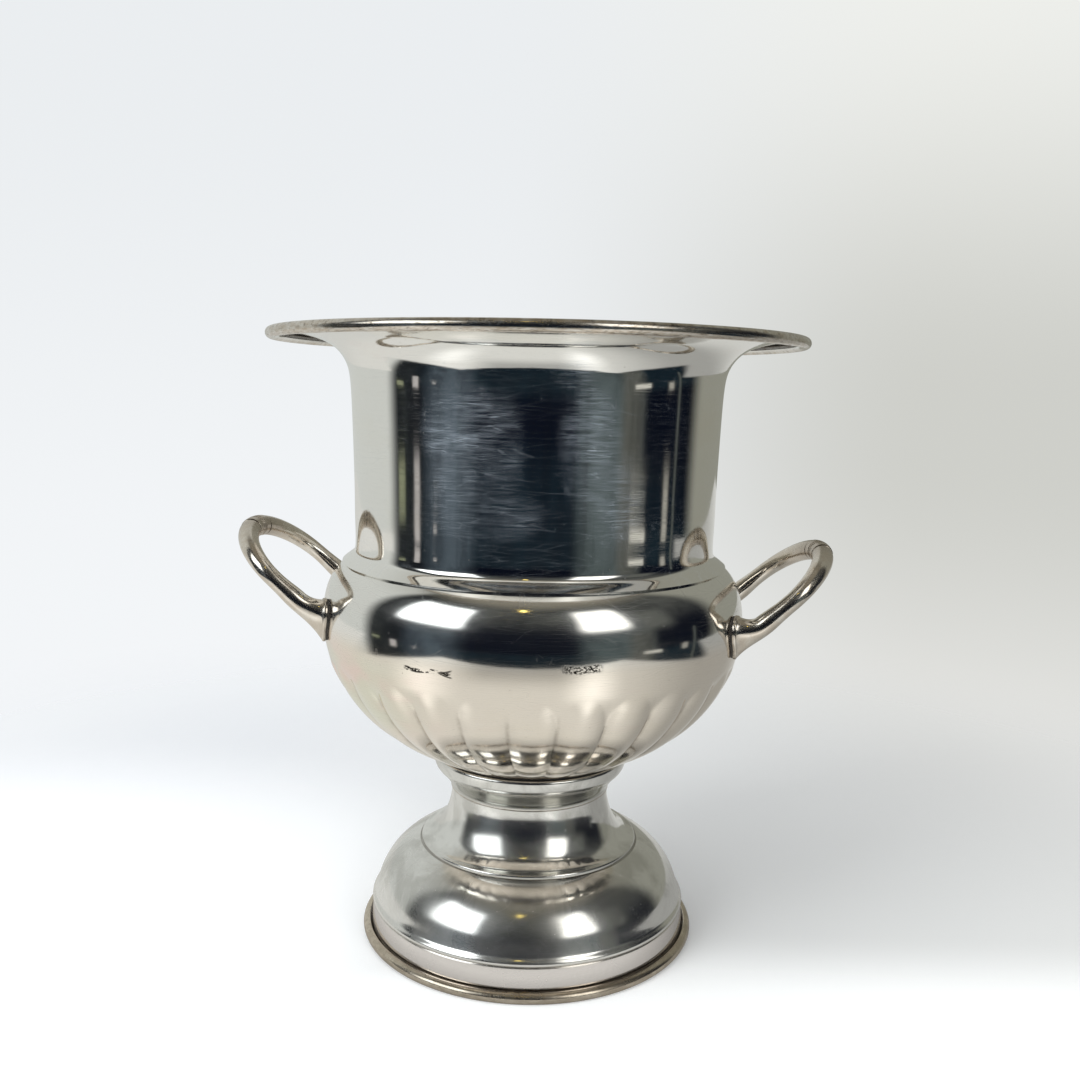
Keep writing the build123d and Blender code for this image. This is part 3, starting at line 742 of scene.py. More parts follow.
# finishes of the CAD nodes that stay, and the nodes that wear each
FINISHES = [
    (
        dict(name="turned_brass", color=(0.74, 0.60, 0.34), rough=0.22, grain=0.9,
             height=0.012, dirt=(0.25, 0.17, 0.08), streak=(1, 1, 6)),
        ("cap_nut", "cap_washer", "spreader_plate"),
    ),
    (
        dict(name="fastener_steel", color=(0.58, 0.58, 0.60), rough=0.30, grain=1.2,
             dirt=(0.16, 0.12, 0.09), streak=(1, 1, 5)),
        ("centre_stud", "lock_washer", "foot_nut", "handle_screws", "handle_washers"),
    ),
    (
        dict(name="drawn_wire", color=(0.46, 0.45, 0.44), rough=0.38, grain=1.0,
             dirt=(0.22, 0.12, 0.06)),
        ("rim_wire", "foot_wire"),
    ),
    (
        dict(name="sealing_rubber", color=(0.022, 0.021, 0.020), metallic=0.0, rough=0.55,
             grain=0.8, height=0.03, dirt=(0.09, 0.08, 0.07), dirt_amount=0.35),
        ("joint_gasket", "bowl_seal"),
    ),
    (
        dict(name="aged_packing", color=(0.085, 0.075, 0.065), metallic=0.0, rough=0.6,
             grain=0.8, height=0.03, dirt=(0.16, 0.14, 0.11)),
        ("handle_gaskets",),
    ),
]


def finish_cad_nodes():
    for finish, names in FINISHES:
        material = plain_material(**finish)
        for name in names:
            ob = nodes[name]
            if not ob.material_slots:
                ob.data.materials.append(material)
            for slot in ob.material_slots:
                slot.link = "OBJECT"
                slot.material = material


# ---------------------------------------------------------------- neck wall
def bowl_r(z, inset=0.0):
    """Radius of the bowl's ellipse at height z."""
    k = (BOWL_MID_Z - z) / (BOWL_HALF_HEIGHT - inset)
    return (BOWL_HALF_WIDTH - inset) * math.sqrt(max(0.0, 1 - k * k))


# outside of the bowl from the lobes' tops over the shoulder to its neck, (r, z)
SHOULDER = [
    (bowl_r(LOBE_TOP_Z), LOBE_TOP_Z), (90.0, 132.0), (91.05, 138.0),
    (BOWL_HALF_WIDTH, BOWL_MID_Z), (91.05, 148.0), (90.35, 152.6), (89.15, 156.9),
    (87.4, 160.6), (85.0, 163.9), (82.4, 166.35), (80.2, 168.05), (78.35, 169.5),
    (77.15, 170.95), (76.65, 172.7), (NECK_R, 175.0), (NECK_R, NECK_TOP_Z),
]
BELLY_POINTS = slice(1, 9)  # where the handles' feet sit
LAPPED_POINTS = slice(9, None)  # where the wall laps the bowl

# outside of the wall from above the lap to the rim, (r, z)
WALL = [
    (77.65, 184.0), (77.8, 195.0), (78.15, 210.0), (78.75, 228.0), (79.25, 239.0),
    (79.75, 244.5), (80.65, 248.8), (82.2, 252.2), (84.5, 255.2), (87.6, 257.7),
    (91.4, 259.5), (96.0, 260.9), (101.5, 262.0), (107.0, 262.7),
    (RIM_BEAD_R, RIM_TOP_Z - SHEET),
]


def shoulder(gap):
    """The shoulder's profile moved outwards by gap."""
    points = left_offset(SHOULDER, -gap)
    points[0] = (bowl_r(LOBE_TOP_Z, -gap), LOBE_TOP_Z)
    points[-1] = (NECK_R + gap, NECK_TOP_Z)
    return points


def build_neck_wall(material):
    inner = left_offset(WALL, SHEET)
    inner[-1] = (RIM_BEAD_R, RIM_TOP_Z)
    loop = join(
        spline(shoulder(LAP + SHEET)[LAPPED_POINTS] + WALL, 0.7),
        arc(RIM_BEAD_R, RIM_BEAD_Z, BEAD_R - SHEET, start=90, end=-165, steps=30),
        arc(RIM_BEAD_R, RIM_BEAD_Z, BEAD_R, start=-165, end=90, steps=48),
        spline(shoulder(LAP)[LAPPED_POINTS] + inner, 0.7)[::-1],
    )
    lathe("neck_wall_plated", loop, 360, material, "upper_wall")


# ---------------------------------------------------------------- bowl with its lobes
def lobe_relief(r, z, azimuth):
    """How far the surface lies inside the plain bowl.

    Sharp valleys below, round shouldered ends above, and crests a little proud.
    """
    lobe = (azimuth - LOBE_TURN) / (2 * math.pi / LOBES)
    across = np.abs(((lobe + 0.5) % 1.0) - 0.5) * 2
    below = np.clip((LOBE_TOP_Z + 3.5 - z) / 15.0, 0, 1)
    # half width of the lobe's rounded end, as a share of the spacing
    cap = np.sqrt(np.clip(1 - (1 - below) ** 2, 0, 1))
    cross = np.clip(across / np.maximum(cap, 1e-3), 0, 1.6)
    dome = np.where(cross < 1, 1 - cross**2, 0.0)
    from_base = np.clip((z - BOWL_BASE_Z - 0.3) / 9.0, 0, 1)
    low = 0.25 + 0.75 * from_base * (2 - from_base)
    depth = LOBE_DEPTH * smooth((LOBE_TOP_Z + 3.5 - z) / 9.0) * low
    rise = LOBE_RISE * smooth((LOBE_TOP_Z + 3.0 - z) / 7.0)
    rise = rise * smooth((z - BOWL_BASE_Z - 4.0) / 14.0)
    rise = rise * (1 - 0.75 * np.clip(across, 0, 1) ** 2)
    away_from_hole = np.clip((r - 20) / 30, 0, 1)
    return away_from_hole * (depth - depth * dome - rise)


def ellipse_run(inset, bottom, top):
    """Points up the lower bowl at even angles."""
    half_width, half_height = BOWL_HALF_WIDTH - inset, BOWL_HALF_HEIGHT - inset
    start, end = (math.acos(min(1, (BOWL_MID_Z - z) / half_height)) for z in (bottom, top))
    steps = int(abs(end - start) * 80 / 0.7)
    angles = [start + (end - start) * i / steps for i in range(steps + 1)]
    return [
        (half_width * math.sin(a), BOWL_MID_Z - half_height * math.cos(a)) for a in angles
    ]


def bowl_side(run, shoulder_points):
    """A run up the lower bowl carried on smoothly over the shoulder."""
    direction = (run[-1][0] - run[-2][0], run[-1][1] - run[-2][1])
    return run[:-1] + spline([run[-1]] + shoulder_points[2:], 0.7, start=direction)


def build_bowl(material):
    outer = ellipse_run(0.0, BOWL_BASE_Z + 0.35, ELLIPSE_TOP_Z)
    inner = ellipse_run(SHEET, BOWL_BASE_Z + SHEET + 0.5, ELLIPSE_TOP_Z)
    loop = join(
        radial(STUD_HOLE_R, outer[0][0] - 0.9, BOWL_BASE_Z, 16),
        [(outer[0][0] - 0.35, BOWL_BASE_Z + 0.08)],
        bowl_side(outer, SHOULDER),
        bowl_side(inner, shoulder(-SHEET))[::-1],
        radial(STUD_HOLE_R, inner[0][0] - 1.2, BOWL_BASE_Z + SHEET, 16)[::-1],
    )
    lathe(
        "lobed_bowl_plated", loop, LOBES * LOBE_SEGMENTS, material, "lobed_bowl",
        relief=lobe_relief, sharp=32,
    )


# ---------------------------------------------------------------- foot, stem and collar, (r, z)
DOME_EDGE = [(68.35, 18.3), (68.85, 17.0)]
FOOT_STEP = [(69.3, 16.5), (69.95, 15.6), (70.15, 14.85), (69.95, 14.0), (69.45, 13.3)]

# rounded edge of the stem's flare: r, radius at which the dome is measured, rise over it
FLARE_EDGE = [
    (48.27, FLARE_R, 0.4), (48.25, FLARE_R, 0.75), (48.2, 48.2, 0.98),
    (48.08, 48.1, 1.17), (47.9, 47.9, 1.29),
]
STEM_OUTER = [
    (46.0, 42.25), (43.6, 43.55), (41.2, 45.5), (39.2, 48.2), (37.55, 51.3), (36.3, 54.7),
    (35.45, 58.2), (34.95, 61.3), (34.85, 64.3),
]
STEM_INNER = [
    (40.9, 43.9), (38.6, 47.0), (36.6, 50.7), (35.25, 54.4), (34.35, 58.1), (33.85, 61.3),
    (33.7, 64.3),
]
STEM_TOP = [(34.5, 64.3), (34.5, 69.5), (33.4, 69.5)]

COLLAR_FOOT = [(34.55, 64.35), (35.05, 64.35), (35.35, 64.6)]
COLLAR_COVE = [(35.25, 65.0), (35.85, 66.9), (37.25, 69.2), (39.2, 71.7), (40.7, 73.3)]
COLLAR_LIP = [
    (41.15, 73.55), (42.2, 75.1), (42.85, 77.0), (43.1, 78.7), (43.0, 79.7), (42.5, 80.35),
    (41.6, COLLAR_TOP_Z),
]
COLLAR_INNER = [
    (40.6, COLLAR_TOP_Z - COLLAR_WEB), (41.3, 77.6), (40.4, 75.3), (38.2, 72.8), (35.9, 70.2),
    (34.55, 68.0),
]


def build_foot(material):
    dome = arc(DOME_CENTRE_R, DOME_CENTRE_Z, DOME_R, start=84.5, end=15.0, steps=10) + DOME_EDGE
    dome_inner = left_offset(dome, -SHEET)
    bead_inner_r = FOOT_BEAD_R - BEAD_R
    band_outer = [(69.75, 13.1), (70.1, 9.5), (bead_inner_r + SHEET, FOOT_BEAD_Z)]
    band_inner = [
        (bead_inner_r, FOOT_BEAD_Z), (69.2, 9.5), (68.7, 13.0), (68.45, 15.2), (67.9, 17.2),
        dome_inner[-3],
    ]
    # the bead is flattened where it stands on the table
    bead = arc(FOOT_BEAD_R, FOOT_BEAD_Z, BEAD_R, start=102, end=-180, steps=60)
    bead = [(r, max(0.0, z)) for r, z in bead]
    loop = join(
        spline(dome, 0.6),
        spline(FOOT_STEP, 0.25),
        spline(band_outer, 0.5, start=(0.12, -1), end=(0, -1)),
        arc(FOOT_BEAD_R, FOOT_BEAD_Z, BEAD_R - SHEET, start=180, end=462, steps=30),
        bead,
        spline(band_inner, 0.6, start=(0, 1), end=(-0.25, 1)),
        spline(dome_inner[:-2], 0.6)[::-1],
    )
    lathe("foot_base_plated", loop, 300, material, "foot_base", sharp=30)


def dome_z(r, gap=0.0):
    """Height of the dome, or of a surface a gap above it, at radius r."""
    return DOME_CENTRE_Z + math.sqrt((DOME_R + gap) ** 2 - (r - DOME_CENTRE_R) ** 2)


def build_stem(material):
    edge, seat, inside = ((r, dome_z(r, FLARE_GAP)) for r in (FLARE_R, 45.6, 43.2))
    loop = join(
        [edge] + [(r, dome_z(under) + rise) for r, under, rise in FLARE_EDGE],
        spline([(47.7, dome_z(47.7) + 1.35)] + STEM_OUTER, 0.5),
        STEM_TOP,
        spline([inside] + STEM_INNER, 0.6)[::-1],
        spline([inside, seat, edge], 0.6),
    )
    lathe("foot_stem_plated", loop, 240, material, "foot_stem", sharp=38)


def build_collar(material):
    loop = join(
        COLLAR_FOOT,
        spline(COLLAR_COVE, 0.4),
        spline(COLLAR_LIP, 0.35),
        radial(STUD_HOLE_R, 41.0, COLLAR_TOP_Z, 14)[::-1],
        radial(STUD_HOLE_R, 40.6, COLLAR_TOP_Z - COLLAR_WEB, 14),
        spline(COLLAR_INNER, 0.6),
    )
    lathe("foot_collar_plated", loop, 240, material, "foot_collar", sharp=30)


# ---------------------------------------------------------------- handles
# outline of a foot, (across, up) from its middle
LEAF = [
    (0, 9.0), (-3.6, 7.6), (-6.0, 3.6), (-5.3, -1.2), (-2.7, -5.6),
    (0, -9.3), (2.7, -5.6), (5.3, -1.2), (6.0, 3.6), (3.6, 7.6),
]
# a foot's underside, as shares of the way from its middle to its outline
UNDERSIDE = (0.12, 0.35, 0.6, 0.82, 0.94)
# a foot's upright edge and rounded arris: mm out from the bowl, mm in from the outline
FOOT_EDGE = [(0.5, 0.0), (0.95, 0.0), (1.22, 0.12), (1.36, 0.32), (1.42, 0.55)]
FOOT_BLEND_STEPS = 26
TANGENT_STEP, END_INSET = 0.2, 0.21  # mm along the loop
CREST_ZONE, CREST_SPACING, ARM_SPACING = 9.5, 0.11, 0.5

# directions of the loop's plane: out and up, along +Y, and square to the plane
PLANE_OUT = np.array([math.cos(TILT), 0, math.sin(TILT)])
PLANE_ACROSS = np.array([0, 1.0, 0])
PLANE_NORMAL = np.array([-math.sin(TILT), 0, math.cos(TILT)])
RING_ANGLES = np.arange(RING) * 2 * math.pi / RING


def loop_path():
    """The loop's centre line as (out, across) from its outermost point, front foot first."""
    front = [
        (LOOP_START, -LOOP_HALF_WIDTH - 0.1), (-33.0, -LOOP_HALF_WIDTH - 0.1),
        (-LOOP_REACH, -LOOP_HALF_WIDTH),
    ]
    bend = []
    for degrees in range(-75, 90, 15):
        angle = math.radians(degrees)
        out = -LOOP_REACH + LOOP_REACH * math.cos(angle)
        bend.append((out, LOOP_HALF_WIDTH * math.sin(angle)))
    back = [(out, -across) for out, across in front[::-1]]
    return np.array(spline(front + bend + back, 0.05, start=(1, 0), end=(-1, 0)))


PATH = loop_path()
PATH_RUN = run_lengths(PATH)
PATH_LENGTH = PATH_RUN[-1]
# section of the packing surface that the feet sit on
SADDLE = np.array(spline(shoulder(GASKET + GASKET_GAP)[BELLY_POINTS], 0.3))


def closed_curve(points, count):
    """Even points round a closed smooth curve, starting at its first point."""
    # three laps are drawn and the middle one is used, so that the join is smooth
    laps = np.array(points * 3 + points[:1], float)
    full = np.array(spline(laps, 0.15))
    run = run_lengths(full)

    def pass_of_first(lo, hi):
        outside = (run < run[-1] * lo) | (run > run[-1] * hi)
        return run[int(np.argmin(np.hypot(*(full - laps[0]).T) + 1e3 * outside))]

    start, end = pass_of_first(0.25, 0.45), pass_of_first(0.55, 0.80)
    places = np.linspace(start, end, count, endpoint=False)
    return np.stack([np.interp(places, run, full[:, i]) for i in (0, 1)], -1)


def path_at(place, apex):
    """Point of the loop, its direction, and the direction to its side."""
    def flat(s):
        return np.array([np.interp(s, PATH_RUN, PATH[:, i]) for i in (0, 1)])

    out, across = flat(place)
    step_out, step_across = flat(place + TANGENT_STEP) - flat(place - TANGENT_STEP)
    chord = math.hypot(step_out, step_across)
    here = apex + out * PLANE_OUT + across * PLANE_ACROSS
    along = (step_out / chord) * PLANE_OUT + (step_across / chord) * PLANE_ACROSS
    return here, along, -np.cross(along, PLANE_NORMAL)


def loop_radius(place):
    """Section radius along the loop: flared at its feet, slim in the arms, thick at the crest."""
    from_end = min(place, PATH_LENGTH - place)
    share = min(max(place / PATH_LENGTH, 0), 1)
    swell = (CREST_R - ARM_R) * math.sin(math.pi * share) ** 1.6
    return ARM_R + swell + FOOT_FLARE * math.exp(-((from_end / FOOT_FLARE_RUN) ** 2))


def crest_detail(offset):
    """Radius change at an offset from the crest's middle: reeds, then a band and cut each side."""
    away = abs(offset)
    cuts = sum(depth * math.exp(-(((away - g) / width) ** 2)) for g, depth, width in CREST_GROOVES)
    return BAND_RISE * min(max((BAND_END + BAND_TAPER - away) / BAND_TAPER, 0), 1) - cuts


def on_saddle(point):
    """The point moved level, in or out from the axis, to the packing surface."""
    x, y, z = point
    scale = float(np.interp(z, SADDLE[:, 1], SADDLE[:, 0])) / math.hypot(x, y)
    return np.array([x * scale, y * scale, z])


def section(centre, radius, side):
    """Ring of points round the loop."""
    return np.array([
        centre + radius * (math.cos(a) * PLANE_NORMAL - math.sin(a) * side) for a in RING_ANGLES
    ])


def foot_rings(apex, foot_z, sign):
    """Centre and rings of a foot, from the bowl out to the loop; sign is 1 front, -1 back."""
    azimuth = -sign * FOOT_AZIMUTH
    outward = np.array([math.cos(azimuth), math.sin(azimuth), 0])
    across = np.array([-math.sin(azimuth), math.cos(azimuth), 0])
    centre, along, side = path_at(END_INSET if sign > 0 else PATH_LENGTH - END_INSET, apex)
    centre = centre - sign * END_INSET * along
    neck = section(centre, loop_radius(0.0), side)
    base = np.array([
        on_saddle(outward * FOOT_DISTANCE + across * (u * sign) + np.array([0, 0, foot_z + v]))
        for u, v in closed_curve(LEAF, RING)
    ])
    middle = base.mean(0)
    rings = [
        np.array([on_saddle(middle + (point - middle) * share) for point in base])
        for share in UNDERSIDE
    ]
    rings.append(base)
    inward = middle - base
    inward /= np.linalg.norm(inward, axis=1)[:, None]
    rings += [base + outward * rise + inward * inset for rise, inset in FOOT_EDGE]
    # blend from the arris into the loop
    start = rings[-1]
    chord = neck - start
    distance = np.linalg.norm(chord, axis=1)[:, None]
    leave = chord * 0.85 + inward * distance * 0.30
    arrive = sign * along[None, :] * np.maximum(distance, 6.0) * 1.25
    for k in range(1, FOOT_BLEND_STEPS + 1):
        rings.append(hermite(k / FOOT_BLEND_STEPS, start, leave, neck, arrive))
    return on_saddle(middle), rings


def loop_rings(apex):
    """Rings between the feet, closer together at the crest."""
    rings = []
    place = 0.0
    while place < PATH_LENGTH:
        at_crest = abs(place - PATH_LENGTH / 2) < CREST_ZONE
        place += CREST_SPACING if at_crest else ARM_SPACING
        if place < PATH_LENGTH - 0.3:
            centre, _, side = path_at(place, apex)
            radius = loop_radius(place) + crest_detail(place - PATH_LENGTH / 2)
            rings.append(section(centre, radius, side))
    return rings


def build_handle(name, material, replaced, heights, mirror):
    """One closed skin from foot to foot, made at +X and mirrored for the left."""
    apex_z, foot_z = heights
    apex = np.array([APEX_X, 0, apex_z])
    front_centre, front = foot_rings(apex, foot_z, 1.0)
    back_centre, back = foot_rings(apex, foot_z, -1.0)
    rings = front + loop_rings(apex) + back[::-1]
    verts = np.concatenate(rings + [front_centre[None, :], back_centre[None, :]])
    faces = grid_faces(len(rings), RING, wrap_rows=False)
    last = (len(rings) - 1) * RING
    front_index, back_index = len(verts) - 2, len(verts) - 1
    faces += [(front_index, j, (j + 1) % RING) for j in range(RING)]
    faces += [(back_index, last + (j + 1) % RING, last + j) for j in range(RING)]
    # the skin's volume must come out positive for its normals to face out
    volume = sum(
        float(np.dot(verts[f[0]], np.cross(verts[f[i]], verts[f[i + 1]])))
        for f in faces
        for i in range(1, len(f) - 1)
    )
    if mirror:
        verts = verts * np.array([-1, 1, 1])
    if (volume < 0) != mirror:
        faces = [tuple(reversed(f)) for f in faces]
    mesh_object(name, verts * MM, faces, material, 50, replaced)


# ---------------------------------------------------------------- floor, metres
FLOOR_X, FLOOR_Y = (-1.15, 1.15), (-0.49, 2.2)
FLOOR_COLUMNS, FLOOR_ROWS = 24, 28


def painted_floor_reflection(position, x, y):
    """Painted reflection of the cloth: a glow that only polished metal sees, with painted light and
    shade in it.
    """
    warm_white, cool_white = (1.005, 1.01, 0.965), (1.0, 1.01, 1.0)
    azimuth = mul(azimuth_of(x, y), DEGREES)
    distance = mul(length(position), by=1000.0)
    turned = size(azimuth)
    # painted shade: darker to the right, evened out at the back
    level = mul_add(step(azimuth, off=24.0, on=96.0), by=-0.35, plus=0.70)
    behind = step(turned, off=118.0, on=165.0)
    level = add(level, mul(behind, sub(0.62, level)))
    # painted shade: darker far out at the front, and a painted contact shadow close in under the
    # foot
    front = step(size(add(azimuth, 2.0)), off=40.0, on=18.0)
    front_shade = mul(front, mul(step(distance, off=230.0, on=420.0), by=0.42))
    level = mul(level, sub(1.0, front_shade))
    level = mul(level, remap(distance, span=(75.0, 96.0), to=(0.62, 1.0)))
    # a painted light streak in each window's direction
    light_streaks = []
    for lo, hi, soft, fall in ((-62.0, -46.0, 15.0, (0.48, 0.20)), (22.0, 36.0, 11.0, (0.55, 0.36))):
        streak = mul(window(azimuth, lo, hi, soft), step(distance, off=100.0, on=250.0))
        light_streaks.append(mul(streak, remap(distance, span=(330.0, 440.0), to=fall)))
    warm = add_node("VectorMath", {0: warm_white, "Scale": level}, operation="SCALE")
    cool = add_node("VectorMath", {0: cool_white, "Scale": add(*light_streaks)}, operation="SCALE")
    both = vector_math("ADD", warm.outputs[0], cool.outputs[0])
    return add_node("Emission", {"Color": both}).outputs[0]


def floor_material():
    left_dark, left_light = (0.90, 0.915, 0.93), (0.93, 0.94, 0.95)
    right_shade_color, painted_glow_color = (0.80, 0.80, 0.775), (0.97, 0.99, 1.0)
    material = new_material("pale_cloth_painted_light")
    position = object_position()
    x, y = axes(position, 2)
    rays = add_node("LightPath").outputs
    clear = add_node("BsdfTransparent").outputs[0]
    weave = noise(position, scale=900.0, detail=2.0)
    soft = noise(position, scale=5.0)
    color = mix(step(soft, off=0.35, on=0.65), left_dark, left_light)
    # painted shade: the cloth's colour is darker to the right
    color = mix(step(x, off=-0.30, on=0.32), color, right_shade_color)
    normal = bump(weave, strength=0.15, distance=0.0004)
    cloth = add_node("BsdfDiffuse", {"Color": color, "Normal": normal}).outputs[0]
    # painted light: the camera sees the near and left parts lifted by a glow
    near_left = mul(step(y, off=0.25, on=0.0), step(x, off=0.02, on=-0.12))
    near = highest(near_left, step(y, off=-0.01, on=-0.075))
    strength = mul(mul(near, by=0.32), rays["Is Camera Ray"])
    painted_glow = add_node("Emission", {"Color": painted_glow_color, "Strength": strength}).outputs[0]
    lit = add_node("AddShader", {0: cloth, 1: painted_glow}).outputs[0]
    # in reflections the cloth ends to the left and right of the bucket's front half
    sides = highest(step(x, off=-0.43, on=-0.49), step(x, off=0.46, on=0.52))
    past = mul(sides, step(y, off=0.12, on=0.02))
    reflected = mix_shader(past, painted_floor_reflection(position, x, y), clear)
    seen = mix_shader(rays["Is Glossy Ray"], lit, reflected)
    # for the camera it fades into the backdrop
    fade = mul(step(length(position), off=0.20, on=0.62), rays["Is Camera Ray"])
    output(mix_shader(fade, seen, clear))
    return material


def build_floor():
    mesh = bpy.data.meshes.new("floor")
    (x0, x1), (y0, y1) = FLOOR_X, FLOOR_Y
    row = FLOOR_COLUMNS + 1
    verts = [
        (x0 + (x1 - x0) * i / FLOOR_COLUMNS, y0 + (y1 - y0) * j / FLOOR_ROWS, 0.0)
        for j in range(FLOOR_ROWS + 1)
        for i in range(row)
    ]
    corners = [j * row + i for j in range(FLOOR_ROWS) for i in range(FLOOR_COLUMNS)]
    mesh.from_pydata(verts, [], [(c, c + 1, c + row + 1, c + row) for c in corners])
    ob = bpy.data.objects.new("floor", mesh)
    bpy.context.scene.collection.objects.link(ob)
    ob.rotation_euler = (0, 0, TURN)
    mesh.materials.append(floor_material())


# ---------------------------------------------------------------- surroundings
# Patches of the room: azimuths from the front and elevations in degrees, softness of each.
SHEENS = [
    ((-67.0, -39.0), (-30.0, 14.0), 7.0, 9.0, (0.070, 0.092, 0.112)),
    ((27.0, 64.0), (-30.0, 12.0), 7.0, 9.0, (0.075, 0.096, 0.098)),
    ((52.0, 66.0), (-30.0, 12.0), 4.0, 9.0, (0.092, 0.096, 0.086)),
]
CARDS = [
    ((-78.0, -73.8), (-11.0, -6.3), 0.7, 0.22, (0.46, 0.44, 0.43)),
    ((-63.6, -61.2), (-9.5, -8.3), 0.6, 0.22, (0.42, 0.41, 0.40)),
    ((-91.0, -85.5), (-7.7, -6.2), 0.9, 0.22, (0.26, 0.28, 0.18)),
    ((60.0, 71.0), (-10.2, -8.2), 0.9, 0.22, (0.62, 0.61, 0.55)),
    ((84.5, 88.5), (-10.0, -6.6), 1.0, 0.22, (0.36, 0.35, 0.31)),
    ((93.0, 94.5), (-20.0, 3.0), 0.8, 0.22, (0.10, 0.11, 0.10)),
    ((60.0, 80.0), (10.0, 36.0), 6.0, 6.0, (0.10, 0.105, 0.095)),
]
# the left window, the right window and a small warm lamp
BRIGHT = [
    ((-76.0, -38.0), (14.5, 46.0), 4.5, 4.0, (2.6, 2.75, 2.8)),
    ((27.5, 53.0), (15.5, 48.0), 5.0, 5.0, (2.3, 2.3, 2.2)),
    ((-8.0, -4.5), (51.4, 54.6), 0.9, 0.8, (5.6, 4.3, 1.1)),
]
HALOS = [((-78.0, -36.0), (12.0, 48.0), 12.0, 9.0), ((25.5, 56.0), (13.0, 51.0), 11.0, 9.0)]


def reflected_room(direction, x, y, z):
    """What polished metal sees: a dark room at the front, a pale sheet behind and beside."""
    low_navy, high_navy = (0.0065, 0.0145, 0.0215), (0.0008, 0.0022, 0.0075)
    upper, far_left, shadow = (0.075, 0.078, 0.072), (0.016, 0.019, 0.020), (0.002, 0.003, 0.006)
    sheet_left, sheet_right = (0.60, 0.62, 0.595), (0.27, 0.272, 0.232)
    sheet_top, ceiling, halo_color = (0.26, 0.25, 0.21), (0.22, 0.205, 0.165), (0.30, 0.32, 0.33)
    azimuth = sub(mul(azimuth_of(x, y), DEGREES), math.degrees(TURN))
    elevation = mul(calc("ARCSINE", z), DEGREES)

    def patch(across, up, soft, soft_up):
        return mul(window(azimuth, *across, soft), window(elevation, *up, soft_up))

    def lay(base, patches):
        for *place, color in patches:
            base = mix(patch(*place), base, color)
        return base

    room = mix(step(elevation, off=-8.8, on=-5.8), low_navy, high_navy)
    room = mix(step(elevation, off=8.0, on=42.0), room, upper)
    room = mix(step(azimuth, off=-60.0, on=-86.0), room, far_left)
    room = lay(room, SHEENS)
    clutter = noise(
        direction, stretch=(1.0, 1.0, 0.5), scale=7.0, detail=4.0, rough=0.6, distort=0.8
    )
    room = mix(remap(clutter, span=(0.36, 0.60), to=(0.45, 0.0)), room, shadow)
    room = lay(room, CARDS)
    sheet = mix(step(azimuth, off=-60.0, on=60.0), sheet_left, sheet_right)
    sheet = mix(step(elevation, off=30.0, on=80.0), sheet, sheet_top)
    behind = highest(step(azimuth, off=-90.0, on=-102.0), step(azimuth, off=103.0, on=118.0))
    behind = mul(behind, step(elevation, off=66.0, on=50.0))
    room = mix(step(elevation, off=50.0, on=70.0), room, ceiling)
    room = mix(behind, room, sheet)
    halos = highest(*[patch(*place) for place in HALOS])
    return lay(mix(mul(halos, by=0.55), room, halo_color), BRIGHT)


def backdrop(x, z):
    """What the camera sees behind the bucket, by ray direction."""
    left = mix(step(z, off=-0.25, on=0.25), (0.90, 0.92, 0.94), (0.83, 0.855, 0.875))
    right = mix(step(z, off=-0.35, on=-0.05), (0.80, 0.80, 0.78), (0.62, 0.625, 0.59))
    right = mix(step(z, off=0.0, on=0.35), right, (0.86, 0.87, 0.84))
    return mix(step(x, off=-0.12, on=0.30), left, right)


def build_world():
    world = bpy.data.worlds.new("studio")
    bpy.context.scene.world = world
    world.use_nodes = True
    open_tree(world.node_tree)
    direction = add_node("TexCoord").outputs["Generated"]
    x, y, z = axes(direction)
    rays = add_node("LightPath").outputs
    glossy = add_node("Background", {"Color": reflected_room(direction, x, y, z)}).outputs[0]
    camera = add_node("Background", {"Color": backdrop(x, z)}).outputs[0]
    fill = {"Color": (0.80, 0.83, 0.87), "Strength": 0.62}
    diffuse = add_node("Background", fill).outputs[0]
    indirect = mix_shader(rays["Is Glossy Ray"], diffuse, glossy)
    output(mix_shader(rays["Is Camera Ray"], indirect, camera), "World")


# soft lights, metres and watts, placed before the turn: name, place, target, size, power, colour
LIGHTS = [
    ("soft_left", (-1.1, -0.9, 1.1), (0, 0, 0.1), (0.9, 0.7), 14.0, (0.97, 0.99, 1.0)),
    ("soft_right", (0.95, -1.0, 1.2), (0, 0, 0.1), (0.7, 0.6), 5.0, (1.0, 0.99, 0.97)),
    ("soft_top", (0.0, 0.1, 1.5), (0, 0, 0), (1.2, 1.2), 5.0, (1.0, 1.0, 1.0)),
]
# camera, before the turn: place in metres, angles in radians, focal length in mm
CAMERA_PLACE = (0.004461, -0.470254, 0.240418)
CAMERA_PITCH, CAMERA_ROLL, CAMERA_YAW = 0.1375193, 0.0217577, -0.0042969
SENSOR_WIDTH, FOCAL_LENGTH = 36.0, 36.0058


def build_lights(turn):
    for name, place, target, (width, height), power, color in LIGHTS:
        light = bpy.data.lights.new(name, "AREA")
        light.shape = "RECTANGLE"
        light.size, light.size_y = width, height
        light.energy = power
        light.color = color
        ob = bpy.data.objects.new(name, light)
        bpy.context.scene.collection.objects.link(ob)
        ob.location = turn @ Vector(place)
        aim = turn @ (Vector(target) - Vector(place))
        ob.rotation_euler = aim.to_track_quat("-Z", "Y").to_euler()
        ob.visible_glossy = False


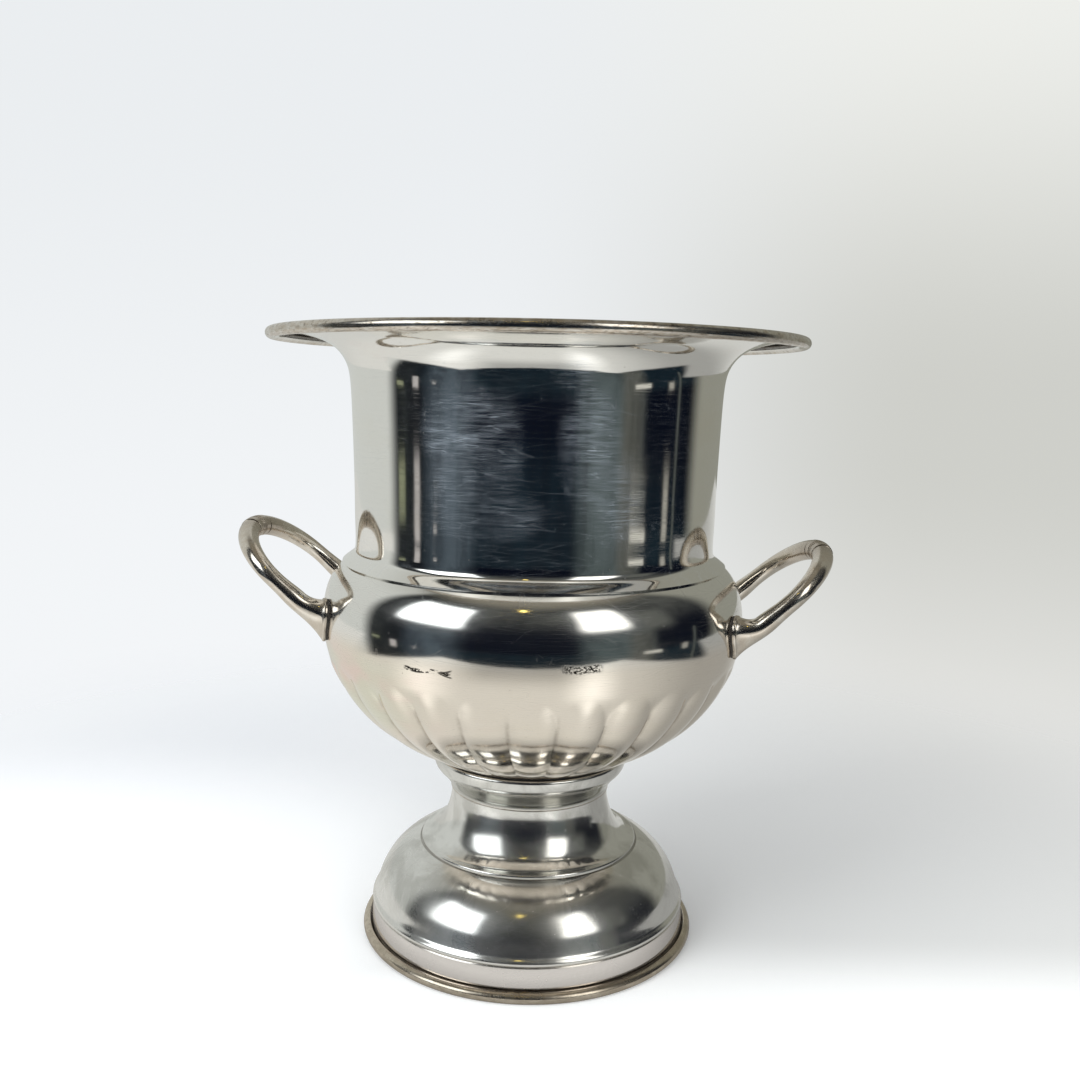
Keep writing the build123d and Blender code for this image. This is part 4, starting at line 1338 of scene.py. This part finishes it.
def build_camera(turn):
    level = Vector((1, 0, 0))
    ahead = Vector((0, math.cos(CAMERA_PITCH), -math.sin(CAMERA_PITCH)))
    above = Vector((0, math.sin(CAMERA_PITCH), math.cos(CAMERA_PITCH)))
    right = math.cos(CAMERA_YAW) * level - math.sin(CAMERA_YAW) * ahead
    forward = math.sin(CAMERA_YAW) * level + math.cos(CAMERA_YAW) * ahead
    camera_x = math.cos(CAMERA_ROLL) * right + math.sin(CAMERA_ROLL) * above
    camera_y = -math.sin(CAMERA_ROLL) * right + math.cos(CAMERA_ROLL) * above
    camera = bpy.data.cameras.new("camera")
    camera.sensor_width = SENSOR_WIDTH
    camera.sensor_fit = "HORIZONTAL"
    camera.lens = FOCAL_LENGTH
    camera.clip_start = 0.01
    ob = bpy.data.objects.new("camera", camera)
    bpy.context.scene.collection.objects.link(ob)
    pose = Matrix((camera_x, camera_y, -forward)).transposed().to_4x4()
    pose.translation = Vector(CAMERA_PLACE)
    ob.matrix_world = turn.to_4x4() @ pose
    bpy.context.scene.camera = ob


# ---------------------------------------------------------------- build
wall_silver = silver(
    "silver_wall", "wall", worn_rim, tint=(0.93, 0.915, 0.88),
    polish=0.03, haze=0.006, haze_rough=0.50, tarnish=0.25,
)
bowl_silver = silver(
    "silver_bowl", "bowl", worn_shoulder, tint=(0.93, 0.915, 0.88),
    polish=0.055, haze=0.07, haze_rough=0.32, tarnish=0.24, hair=0.20,
)
foot_silver = silver(
    "silver_foot", "foot", worn_foot, tint=(0.885, 0.875, 0.85),
    polish=0.06, haze=0.30, haze_rough=0.40, tarnish=0.22, hair=0.03,
)
collar_silver = silver(
    "silver_collar", "foot", worn_collar, tint=(0.90, 0.89, 0.865),
    polish=0.055, haze=0.20, haze_rough=0.38, tarnish=0.22, hair=0.03,
)
build_neck_wall(wall_silver)
build_bowl(bowl_silver)
build_foot(foot_silver)
build_stem(collar_silver)
build_collar(collar_silver)

handle_plate = handle_material()
build_handle("handle_right_plated", handle_plate, "handle_right", RIGHT_HEIGHTS, mirror=False)
build_handle("handle_left_plated", handle_plate, "handle_left", LEFT_HEIGHTS, mirror=True)
finish_cad_nodes()

build_floor()
build_world()
scene_turn = Matrix.Rotation(TURN, 3, "Z")
build_lights(scene_turn)
build_camera(scene_turn)
bpy.context.scene.view_settings.view_transform = "Standard"
